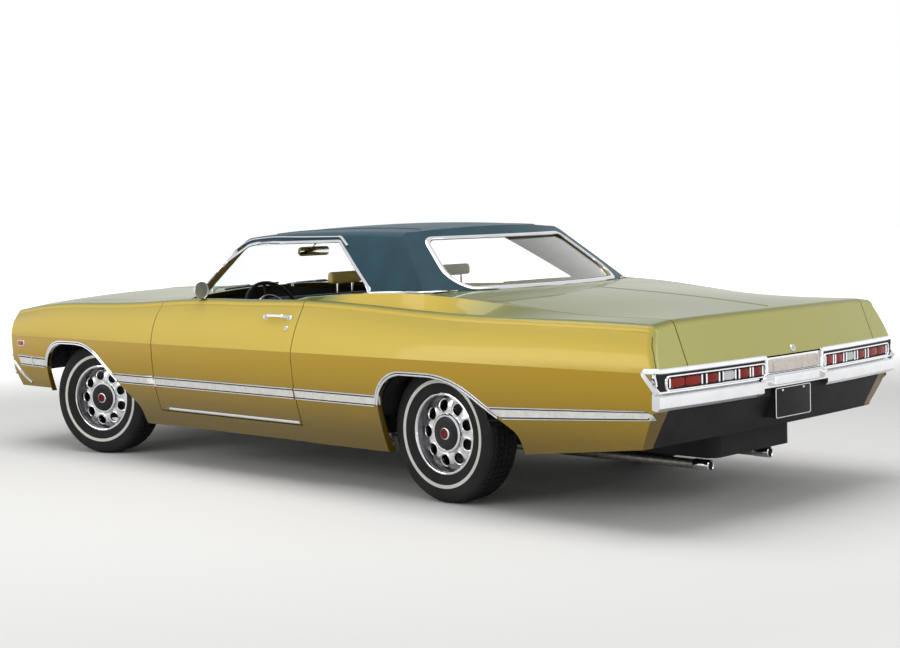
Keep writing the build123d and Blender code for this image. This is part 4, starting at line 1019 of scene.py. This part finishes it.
def padMesh(name, mirror=1):
    outline, (yFrom, yTo), sewn, lowest = padForm[name]
    prism = Shape().grid([[(x, y * mirror, z) for x, z in outline] for y in (yFrom, yTo)])
    mesh = bpy.data.meshes.new(name)
    mesh.from_pydata(prism.points, [], prism.faces)
    form = bmesh.new()
    form.from_mesh(mesh)
    bmesh.ops.recalc_face_normals(form, faces=form.faces)
    bmesh.ops.bevel(form, geom=form.edges[:], offset=padForm["bevel"], segments=3, profile=0.5,
                    affect="EDGES")
    form.to_mesh(mesh)
    form.free()
    mesh = throughModifier(mesh, "REMESH", mode="VOXEL", voxel_size=padForm["voxel" if sewn else "fineVoxel"])
    mesh = swollen(mesh)
    for vertex in mesh.vertices:
        vertex.co.z = max(vertex.co.z, lowest)
    mesh = throughModifier(mesh, "SUBSURF", levels=1, render_levels=1)
    if sewn:
        sewPleats(mesh, Vector(sewn).normalized(), yFrom + padForm["border"], yTo - padForm["border"])
    return mesh


def throughModifier(mesh, kind, **settings):
    holder = addObject("padHolder", mesh)
    modifier = holder.modifiers.new("work", kind)
    for key, value in settings.items():
        setattr(modifier, key, value)
    return bakedMesh(holder)


def swollen(mesh):
    holder = addObject("padHolder", mesh)
    cloth = holder.modifiers.new("swell", "CLOTH").settings
    cloth.use_pressure = True
    cloth.uniform_pressure_force = padForm["pressure"]
    cloth.effector_weights.gravity = 0
    for k in range(1, padForm["lastFrame"] + 1):
        scene.frame_set(k)
    result = bakedMesh(holder)
    for vertex, start in zip(result.vertices, mesh.vertices):
        move = vertex.co - start.co
        if move.length > padForm["cap"]:
            vertex.co = start.co + move.normalized() * padForm["cap"]
    scene.frame_set(1)
    return result


def sewPleats(mesh, facing, yFrom, yTo):
    step = (yTo - yFrom) / round((yTo - yFrom) / padForm["pleatStep"])
    normals = [v.normal.copy() for v in mesh.vertices]
    for vertex, normal in zip(mesh.vertices, normals):
        if normal.dot(facing) < padForm["facing"] or not yFrom - step / 2 < vertex.co.y < yTo + step / 2:
            continue
        away = abs((vertex.co.y - yFrom + step / 2) % step - step / 2)
        if away < padForm["pleatHalf"]:
            vertex.co -= normal * padForm["pleatDepth"] * (1 - (away / padForm["pleatHalf"]) ** 2) ** 2


for name, stands in (("front_cushion", ("front_seat",)), ("front_backrest", ()),
                     ("rear_cushion", ("rear_seat",)),
                     ("rear_backrest", ())):
    dressMesh(name, padMesh(name), "body", "seat_vinyl", sharp=60, replaced=stands)
for side, tag in bodyOfSide.items():
    dressMesh("headrest_" + tag, padMesh("headrest", side), "body", "seat_vinyl", sharp=60)
seatFrame = {
    "base": (0.2, 0.42, 0.362), "baseSize": (0.6, 0.48, 0.15), "post": (-0.124, 0.4425), "postApart": 0.055,
    "postHeights": (0.95, 0.99, 1.03, 1.09), "piping": ((0.03, 0.46), (-0.09, 0.96)), "pipingY": 0.68,
}
seatBase = Shape()
for side in (1, -1):
    x, y, z = seatFrame["base"]
    seatBase.block((x, side * y, z), seatFrame["baseSize"], 0.018, 1)
    x, y = seatFrame["post"]
    for shift in (-seatFrame["postApart"], seatFrame["postApart"]):
        seatBase.tube([(x, side * y + shift, z) for z in seatFrame["postHeights"]], 0.0065, 12)
    piping = [Vector((x, side * seatFrame["pipingY"], z)) for x, z in seatFrame["piping"]]
    seatBase.tube(roundedLine(piping, 0.0), 0.006)
makePiece("seat_frame", seatBase, "body", "seat_vinyl", [looks["chrome"], looks["seat_vinyl"]])
print("seats made")

# steering wheel: local Z runs up the column to the driver
helm = {
    "radius": 0.198, "grip": 0.0115, "ridges": 24, "ridgeShare": 0.05, "spokes": (-12, 192, 270),
    # spoke: reach, half width, rise
    "spoke": ((0.03, 0.024, -0.02), (0.08, 0.019, -0.018), (0.13, 0.016, -0.01), (0.192, 0.013, -0.002)),
    "spokeSection": ((-1, -0.004), (-0.6, 0.004), (0.6, 0.004), (1, -0.004)),
    "hub": [(0.0, 0.012), (0.02, 0.011), (0.026, 0.006), (0.03, 0.004), (0.048, 0.0), (0.054, -0.008),
            (0.054, -0.03), (0.0, -0.034)],
    "hubMarks": [1, 1, 1, 0, 0, 0, 0],
    "hornRadius": 0.118, "hornFrom": 175, "hornSweep": 190, "hornRise": 0.002, "hornWire": 0.0045,
}
wheelGrip = makeGrained("wheelGrip", (0.01, 0.016, 0.02), (0.022, 0.032, 0.038), 0.35, 500, 0.0004)
row = jointRow("steering_turn")
axis, across = Vector(row["axis"]), Vector((0, 1, 0))
place = placed(row["pos_m"], Matrix((across, axis.cross(across), axis)).transposed())
rows = []
for turn in circle(96):
    grip = helm["grip"] * (1 - helm["ridgeShare"] * max(0, math.cos(helm["ridges"] * turn)))
    section = [(helm["radius"] + grip * math.cos(t), grip * math.sin(t)) for t in circle(12)]
    rows.append([place @ Vector((r * math.cos(turn), r * math.sin(turn), rise)) for r, rise in section])
wheel = Shape().grid(rows, ring=True)
for angle in helm["spokes"]:
    way = Vector((math.cos(math.radians(angle)), math.sin(math.radians(angle)), 0))
    aside = Vector((-way.y, way.x, 0))
    rows = [[place @ (way * r + aside * u * half + Vector((0, 0, rise + v)))
             for u, v in helm["spokeSection"]] for r, half, rise in helm["spoke"]]
    wheel.grid(rows)
wheel.lathe(helm["hub"], place, helm["hubMarks"], 48)
r = helm["hornRadius"]
hornTurns = [math.radians(helm["hornFrom"] + helm["hornSweep"] * t) for t in shares(40)]
wheel.tube([place @ Vector((r * math.cos(t), r * math.sin(t), helm["hornRise"])) for t in hornTurns],
           helm["hornWire"], mark=1)
makePiece("steering_wheel_rim", wheel, "steering_wheel", "dash_plastic", [wheelGrip, looks["chrome"]], 45,
          ("steering_wheel",))
print("steering wheel made")

# dashboard face: cast on the padded dash
dash = {
    "low": 0.8, "high": 0.905, "half": 0.7, "dials": (0.52, 0.25), "dialRadius": 0.044, "dialHeight": 0.853,
    "needle": ((0, 0, 0.004), (-0.018, 0.016, 0.004), (-0.027, 0.024, 0.0035)), "ticks": 30,
    "tickReach": 0.034,
    "tickSize": (0.006, 0.0014, 0.0012),
    "knobs": ((0.13, 0.832), (0.13, 0.873), (-0.13, 0.853), (-0.02, 0.853), (-0.62, 0.853)),
    "knob": [(0.0, 0.02), (0.008, 0.0195), (0.01, 0.017), (0.011, 0.004), (0.014, 0.003), (0.015, 0.0),
             (0.0, 0.0)],
    "radio": (-0.075, 0.853), "radioSize": (0.075, 0.045, 0.012),
}
dashSkin = skinOf("dashboard")
dialFace = makeGrained("dialFace", (0.01, 0.012, 0.014), (0.02, 0.022, 0.024), 0.35, 200, 0.0002)


def onDash(y, z, out=0.0):
    return castOn(dashSkin, (0.2, y, z), ahead, out)[0]


low, high, r = dash["low"], dash["high"], dash["dialRadius"]
section = ((low, -0.001), (low, 0.005), (low + 0.008, 0.005), (low + 0.009, 0.002), (high - 0.009, 0.002),
           (high - 0.008, 0.005), (high, 0.005), (high, -0.001))
rows = [[onDash(dash["half"] * (2 * t - 1), z, out) for z, out in section] for t in shares(28)]
panel = Shape().grid(rows, [0, 0, 0, 1, 0, 0, 0, 0])
for y in dash["dials"]:
    turn = placed(onDash(y, dash["dialHeight"], 0.002), facingBack)
    panel.lathe([(0.0, 0.001), (r - 0.004, 0.001), (r - 0.003, 0.008), (r, 0.009), (r + 0.003, 0.004),
                 (r + 0.003, -0.002)], turn, [1, 0, 0, 0, 0], 40)
    panel.tube([turn @ Vector(p) for p in dash["needle"]], 0.0009, 6)
for y, z in dash["knobs"]:
    panel.lathe(dash["knob"], placed(onDash(y, z, 0.002), facingBack), 0, 24)
panel.block(onDash(*dash["radio"], 0.004), dash["radioSize"], 0.004, 1, facingBack)
makePiece("dash_face", panel, "body", "dash_plastic", [looks["chrome"], dialFace], 35)
for name, y in zip(("dial_ticks_outer", "dial_ticks_inner"), dash["dials"]):
    tick = Shape().block((dash["tickReach"], 0, 0.0), dash["tickSize"], 0.0004)
    turn = placed(onDash(y, dash["dialHeight"], 0.0036), facingBack)
    dressMesh(name, repeatForm(name, tick, dash["ticks"], trimPale, turn), "body", "chrome", [trimPale])
print("dashboard made")

# inside mirror and sun visors
cabinForm = {
    "mirror": (0.655, 0, 1.238), "mirrorSize": (0.25, 0.058, 0.016),
    "glass": (0.6462, 0, 1.238), "glassSize": (0.238, 0.046, 0.002),
    "stem": [(0.662, 0, 1.245), (0.655, 0, 1.272), (0.61, 0, 1.3), (0.555, 0, 1.326)],
    "visor": (0.4, 0.33, 1.318), "visorSize": (0.155, 0.4, 0.02), "visorTip": 8,
    "visorRod": [(0.468, 0.16, 1.316), (0.466, 0.34, 1.32), (0.47, 0.51, 1.318)],
}
cabin = Shape().block(cabinForm["mirror"], cabinForm["mirrorSize"], 0.007, 1, facingBack, 0.026)
cabin.block(cabinForm["glass"], cabinForm["glassSize"], 0.0008, 0, facingBack, 0.02)
cabin.tube(cabinForm["stem"], 0.006)
tipped = Matrix.Rotation(math.radians(cabinForm["visorTip"]), 3, "Y")
for side in (1, -1):
    x, y, z = cabinForm["visor"]
    cabin.block((x, side * y, z), cabinForm["visorSize"], 0.009, 1, tipped, 0.035)
    cabin.tube([(x, side * y, z) for x, y, z in cabinForm["visorRod"]], 0.005)
makePiece("mirror_and_visors", cabin, "body", "seat_vinyl", [looks["chrome"], looks["seat_vinyl"]])

# door trims inside, pulls and locks outside
doorTrim = {
    "front": 0.8, "rear": -0.255, "low": 0.43, "high": 0.955, "wall": 0.867, "pleats": 22, "endInset": 0.02,
    # height, depth and share of the pleats' swell between the lower and the upper edge
    "section": ((0.555, 0.009, 0), (0.56, 0.004, 0), (0.58, 0.005, 0.007), (0.72, 0.005, 0.008),
                (0.855, 0.005, 0.007), (0.875, 0.004, 0), (0.885, 0.01, 0)),
    "armrest": (0.13, 0.838, 0.69), "armrestSize": (0.4, 0.048, 0.052),
    "armBase": (0.13, 0.838, 0.661), "armBaseSize": (0.32, 0.016, 0.034),
    # crank and latch: x, z, reach, and whether it has a knob
    "cranks": ((0.52, 0.64, 0.085, True), (0.06, 0.8, 0.07, False)), "crankY": 0.858,
    "boss": [(0.0, 0.02), (0.014, 0.019), (0.02, 0.01), (0.024, 0.0), (0.024, -0.004)],
    "knob": [(0.0, 0.034), (0.008, 0.032), (0.011, 0.024), (0.009, 0.006), (0.006, 0.0)],
    "handle": (-0.029, -0.229, 0.908), "handleBand": bandProfile(0.009, 0.005, 0.002, 0.006, 0.004),
    "handleRise": (0.004, 0.021, 1.7), "padSize": (0.044, 0.03, 0.008), "lock": (-0.226, 0.855),
    "lockForm": [(0.0, 0.004), (0.0075, 0.004), (0.008, 0.0055), (0.0125, 0.0055), (0.0145, 0.003),
                 (0.0145, -0.004)],
    "keySlot": (0.0018, 0.008, 0.0012),
}


def doorPanel(shape):
    rows = []
    wall = doorTrim["wall"]
    for t in shares(doorTrim["pleats"] * 6):
        x = doorTrim["front"] + (doorTrim["rear"] - doorTrim["front"]) * t
        puff = abs(math.sin(math.pi * t * doorTrim["pleats"])) ** 0.5
        edge = 0.0 if t in (0, 1) else 1.0
        inset = doorTrim["endInset"] * (1 - edge)
        low, high = doorTrim["low"] + inset, doorTrim["high"] - inset
        section = [(low, 0.0), (low + 0.004, 0.006), (low + 0.02, 0.009)]
        section += [(z, depth + swell * puff) for z, depth, swell in doorTrim["section"]]
        section += [(high - 0.012, 0.01), (high, 0.0)]
        rows.append([(x, wall - depth * edge, z) for z, depth in section])
    return shape.grid(rows, 1)


def pullHandle():
    shape = Shape()
    front, rear, z = doorTrim["handle"]
    foot, rise, steep = doorTrim["handleRise"]
    path = [castSide(front + (rear - front) * t, z, foot + rise * min(1, math.sin(math.pi * t) * steep))[0]
            for t in shares(24)]
    castBand(shape, path, [Vector((0, 1, 0))] * len(path), doorTrim["handleBand"])
    for x in (front, rear):
        place, normal = castSide(x, z)
        shape.block(place + normal * 0.002, doorTrim["padSize"], 0.003, 0, facingSide, 0.012)
    place, normal = castSide(*doorTrim["lock"])
    turn = placed(place, aimed(normal))
    shape.lathe(doorTrim["lockForm"], turn, 0, 24)
    return shape.block(turn @ Vector((0, 0, 0.0042)), doorTrim["keySlot"], 0.0004, 1, turn.to_3x3())


for side, tag in bodyOfSide.items():
    trim = doorPanel(Shape())
    trim.block(doorTrim["armrest"], doorTrim["armrestSize"], 0.018, 1, facingSide)
    trim.block(doorTrim["armBase"], doorTrim["armBaseSize"], 0.005, 0, facingSide)
    for x, z, reach, hasKnob in doorTrim["cranks"]:
        turn = Matrix.Translation((x, doorTrim["crankY"], z)) @ Matrix.Rotation(math.radians(90), 4, "X")
        trim.lathe(doorTrim["boss"], turn, 0, 28)
        arm = (0, 0, 0.014), (reach * 0.5, 0.004, 0.026), (reach, 0.006, 0.024)
        trim.tube([turn @ Vector(p) for p in arm], 0.005)
        if hasKnob:
            trim.lathe(doorTrim["knob"], turn @ Matrix.Translation((reach, 0.006, 0.02)), 2, 20)
    makePiece("door_trim_" + tag, trim.twin(side), "door_" + tag, "seat_vinyl",
              [looks["chrome"], looks["seat_vinyl"], capDark], 50)
    makePiece("door_pull_" + tag, pullHandle().twin(side), "door_" + tag, "chrome",
              [looks["chrome"], capDark])
print("door trims made")

# driver's mirror: a turned head on a cast foot
mirrorForm = {
    "middle": (0.6, 0.915, 1.047), "radius": 0.05, "foot": (0.606, 0.893, 0.999),
    "neck": (0.604, 0.905, 1.02),
    # stem: share from foot to neck, half width, half depth
    "stem": ((0.0, 0.02, 0.03), (0.15, 0.017, 0.026), (0.4, 0.01, 0.014), (0.8, 0.009, 0.011),
             (1.0, 0.009, 0.011)),
}
mirrorGlass = makeMetal("mirrorGlass", (0.62, 0.63, 0.62), (0.72, 0.73, 0.72), 0.3)
turn = placed(mirrorForm["middle"], facingBack)
r = mirrorForm["radius"]
head = Shape().lathe([(0.0, 0.0165), (r - 0.005, 0.0165)], turn, 1, 48)
head.lathe([(r - 0.005, 0.0165), (r - 0.004, 0.0205), (r - 0.001, 0.0205), (r, 0.016), (r - 0.002, 0.004),
            (r - 0.012, -0.012), (r - 0.028, -0.02), (0.0, -0.0218)], turn, 0, 48)
rows = []
for t, wide, deep in mirrorForm["stem"]:
    spot = Vector(mirrorForm["foot"]).lerp(Vector(mirrorForm["neck"]), t)
    rows.append([spot + Vector((deep * math.cos(a), wide * math.sin(a), 0)) for a in circle(20)])
makePiece("door_mirror_head", head.grid(rows), "door_left", "chrome", [looks["chrome"], mirrorGlass], 40,
          ("door_mirror",))

# nose: sealed lamps, side markers, bumper wings and wipers
noseForm = {
    "lamps": (0.636, 0.806), "lampHeight": 0.755, "lampRadius": 0.073, "lampFace": 2.744, "bow": 2.8,
    "marker": (2.454, 0.683), "markerSize": (0.084, 0.04, 0.01), "markerLens": (0.07, 0.027, 0.006),
    "wing": (2.618, 0.598), "wingRun": (-0.222, -0.172), "wingSag": 0.02, "rays": 3.2, "bumperHeight": 0.548,
    "guard": 0.33, "guardSize": (0.048, 0.12, 0.024), "guardPad": (0.014, 0.088, 0.006),
    "park": 0.56, "parkSize": (0.15, 0.042), "parkRim": 0.014,
    "lipHalf": 0.77, "lipHeight": 0.879, "ribFrom": 2.7, "ribLength": 1.62,
    "baffle": (2.34, 0.632, 0.735), "baffleSize": (0.3, 0.25, 0.006),
    "slatX": 2.345, "slats": (0.53, 0.632, 0.734), "slatSize": (0.016, 0.21, 0.008),
}
wiperForm = {
    "starts": (-0.06, 0.56), "length": 0.46, "height": 1.028, "rise": 0.016, "gap": 0.006,
    "foot": (0.925, 0.02, 1.026), "pivot": [(0.0, 0.018), (0.008, 0.016), (0.012, 0.006), (0.013, -0.01)],
}
markerAmber = makeGrained("markerAmber", (0.34, 0.05, 0.006), (0.46, 0.09, 0.01), 0.18, 260, 0.0006)
beams, glasses = Shape(), Shape()
r, bow = noseForm["lampRadius"], noseForm["bow"]
for side in (1, -1):
    for y in noseForm["lamps"]:
        x = noseForm["lampFace"] - (bow - math.sqrt(bow ** 2 - y * y))
        turn = placed((x, side * y, noseForm["lampHeight"]), facingFront)
        beams.lathe([(0.0, -0.06), (0.02, -0.056), (0.045, -0.036), (r - 0.009, -0.006), (r - 0.006, 0.001),
                     (r - 0.004, 0.006), (r + 0.001, 0.007), (r + 0.0045, 0.003), (r + 0.0045, -0.001),
                     (r, -0.002),
                     (r, -0.07), (0.0, -0.07)], turn)
        glasses.lathe([(0.0, 0.011), (0.022, 0.0095), (0.045, 0.0045), (r - 0.01, -0.002),
                       (r - 0.007, -0.004),
                       (r - 0.01, -0.006), (0.045, 0.0005), (0.022, 0.0055), (0.0, 0.007)], turn, 0, 48)
makePiece("headlamp_bowls", beams, "body", "chrome", None, 35, ("headlamps",))
makePiece("headlamp_glasses", glasses, "body", "lamp_clear", sharp=35)
place, normal = castSide(*noseForm["marker"])
marker = Shape().block(place, noseForm["markerSize"], 0.003, 0, aimed(normal), 0.008)
marker.block(place + normal * 0.0045, noseForm["markerLens"], 0.0025, 1, aimed(normal), 0.005)
(wingX, wingZ), (runX, runZ) = noseForm["wing"], noseForm["wingRun"]
wing = [(wingX + runX * t, outside, wingZ + runZ * t - noseForm["wingSag"] * math.sin(math.pi * t))
        for t in shares(18)]
castRibbon(marker, sideSkin, wing, inward, ridgeProfile(0.01, 0.008, 0.006, 0.01, 0.002))
makePiece("fender_marks", marker.both(), "body", "chrome", [looks["chrome"], markerAmber], 35)
wipers = Shape()
glassSkin = skinOf("windshield", "cowl_panel", "roof")
for start in wiperForm["starts"]:
    starts = [(2.0, start - wiperForm["length"] * t, wiperForm["height"] + wiperForm["rise"] * t)
              for t in shares(14)]
    blade, normals = castPath(glassSkin, starts, astern, wiperForm["gap"])
    castBand(wipers, blade, smoothNormals(normals), barProfile(0.004, 0.004, 0.004), 1)
    middle = blade[7] + normals[7] * 0.012
    foot = Vector(wiperForm["foot"]) + Vector((0, start, 0))
    wipers.tube([foot, foot.lerp(middle, 0.15) + Vector((0.01, 0, 0.012)),
                 foot.lerp(middle, 0.6) + Vector((0.006, 0, 0.006)), middle], 0.004, 8)
    wipers.lathe(wiperForm["pivot"], Matrix.Translation(foot), 0, 20)
makePiece("wipers", wipers, "body", "chrome", [lampBack, trimDark])

# front bumper guards, park lamps, the hood's bright lip and rib, and baffles beside the radiator
bumperFront = skinOf("bumper_front")


def castBumper(y):
    return castOn(bumperFront, (noseForm["rays"], y, noseForm["bumperHeight"]), astern)


guards = Shape()
for side in (1, -1):
    place, _ = castBumper(side * noseForm["guard"])
    guards.block(place + Vector((-0.01, 0, 0)), noseForm["guardSize"], 0.009, 0, facingFront, 0.02)
    guards.block(place + Vector((0.0005, 0, 0)), noseForm["guardPad"], 0.002, 1, facingFront, 0.006)
    place, normal = castBumper(side * noseForm["park"])
    wide, tall = noseForm["parkSize"]
    rim = noseForm["parkRim"]
    guards.block(place, (wide, tall, 0.006), 0.002, 1, aimed(normal), 0.012)
    guards.block(place + normal * 0.002, (wide - rim, tall - rim, 0.007), 0.0025, 2, aimed(normal), 0.008)
makePiece("bumper_guards", guards, "body", "chrome", [looks["chrome"], trimDark, lensClear], 35)
hoodSkin = skinOf("hood")
across = [(3.4, noseForm["lipHalf"] * (2 * t - 1), noseForm["lipHeight"]) for t in shares(40)]
lip = castRibbon(Shape(), hoodSkin, across, astern, ridgeProfile(0.006, 0.005, 0.003, 0.005, 0.002))
along = [(noseForm["ribFrom"] - noseForm["ribLength"] * t, 0, 2.0) for t in shares(40)]
castRibbon(lip, hoodSkin, along, downward, ridgeProfile(0.016, 0.008, 0.002, 0.004), 1)
makePiece("hood_trim", lip, "hood", "chrome", [looks["chrome"], looks["paint"]], 60)
baffles = Shape()
x, y, z = noseForm["baffle"]
for side in (1, -1):
    baffles.block((x, side * y, z), noseForm["baffleSize"], 0.002, 0, facingFront, 0.02)
    for slatY in noseForm["slats"]:
        baffles.block((noseForm["slatX"], side * slatY, z), noseForm["slatSize"], 0.003, 0, facingFront,
                      0.007)
makePiece("radiator_baffles", baffles, "body", "chassis_black")
print("nose made")

# lid lock and ridge, roof welts, plate bolts and quarter seams
smallForm = {
    "lock": (-3.2, 0, 0.766), "keySlot": (0.0022, 0.01, 0.0012),
    "lockForm": [(0.0, 0.003), (0.01, 0.003), (0.011, 0.006), (0.016, 0.006), (0.019, 0.002),
                 (0.019, -0.005)],
    "ridgeFrom": -1.56, "ridgeLength": 1.08, "weltY": 0.455, "weltFrom": 0.44, "weltLength": 1.2,
    "boltY": 0.089, "bolt": [(0.0, 0.004), (0.004, 0.0035), (0.006, 0.001), (0.0075, -0.001)],
    "seamFrom": (-2.728, 0.945), "seamRun": (-0.034, -0.185),
}
lidSkin = skinOf("trunk_lid")
place, normal = castOn(lidSkin, smallForm["lock"], ahead)
turn = placed(place, aimed(normal))
lock = Shape().lathe(smallForm["lockForm"], turn, 0, 32)
lock.block(turn @ Vector((0, 0, 0.0034)), smallForm["keySlot"], 0.0004, 1, turn.to_3x3())
makePiece("lid_lock", lock, "trunk_lid", "chrome", [looks["chrome"], capDark], 35)
along = [(smallForm["ridgeFrom"] - smallForm["ridgeLength"] * t, 0, 2.0) for t in shares(30)]
ridge = castRibbon(Shape(), lidSkin, along, downward, ridgeProfile(0.012, 0.006, 0.0014, 0.0028))
makePiece("lid_ridge", ridge, "trunk_lid", "paint", sharp=60)
welts, bolts = Shape(), Shape()
for side in (1, -1):
    along = [(smallForm["weltFrom"] - smallForm["weltLength"] * t, side * smallForm["weltY"], 2.0)
             for t in shares(36)]
    castRibbon(welts, roofSkin, along, downward, ridgeProfile(0.007, 0.004, 0.0025, 0.004))
    bolts.lathe(smallForm["bolt"], placed((-2.779, side * smallForm["boltY"], 0.576), facingBack), 0, 16)
makePiece("roof_welts", welts, "body", "roof_vinyl", [makeGrained("weltVinyl", *roofCover["vinyl"])], 60)
makePiece("plate_bolts", bolts, "body", "chrome")
(seamX, seamZ), (runX, runZ) = smallForm["seamFrom"], smallForm["seamRun"]
seam = [(seamX + runX * t, outside, seamZ + runZ * t) for t in shares(10)]
seams = castRibbon(Shape(), sideSkin, seam, inward, barProfile(0.0014, 0.0006, 0.0005), passes=0)
makePiece("quarter_seams", seams.both(), "body", "chassis_black", [trimDark])
print("small parts made")

# trunk side wells close the gap between the floor and the quarters
wellForm = {"front": -1.69, "length": 0.88, "floorY": 0.5, "wallGap": 0.004, "rayHeight": 0.85, "rayY": 0.6}
floorSkin = skinOf("floor_pan")
rows = []
for t in shares(12):
    x = wellForm["front"] - wellForm["length"] * t
    level = castOn(floorSkin, (x, wellForm["floorY"], wellForm["rayHeight"]), downward)[0].z
    wall = castOn(sideSkin, (x, wellForm["rayY"], level), (0, 1, 0))[0].y - wellForm["wallGap"]
    outline = [(0.5, 0.004), (0.68, 0.004), (0.76, -0.02), (wall, -0.03), (wall, -0.034), (0.758, -0.024),
               (0.678, 0.001), (0.5, 0.001)]
    rows.append([(x, y, level + rise) for y, rise in outline])
makePiece("trunk_wells", Shape().grid(rows).both(), "body", "chassis_black", sharp=50)
print("trunk wells made")

# exhaust tips: rolled bright ends on the pipes
tips = Shape()
pipes = [v.co for v in nodes["exhaust"].data.vertices]
pipeEnd = min(p.x for p in pipes)
for side in (1, -1):
    ring = [p for p in pipes if p.x < pipeEnd + 0.004 and p.y * side > 0]
    middle = sum(ring, Vector()) / len(ring)
    r = max((p - middle).length for p in ring)
    turn = placed((pipeEnd, middle.y, middle.z), facingBack)
    tips.lathe([(0.0, 0.0012), (r - 0.007, 0.0012)], turn, 1, 32)
    tips.lathe([(r - 0.007, 0.0012), (r - 0.006, 0.012), (r - 0.002, 0.015), (r + 0.003, 0.012),
                (r + 0.003, -0.075),
                (r + 0.0005, -0.08)], turn, 0, 32)
makePiece("exhaust_tips", tips, "body", "exhaust_steel", [looks["chrome"], trimDark])
print("exhaust tips made")
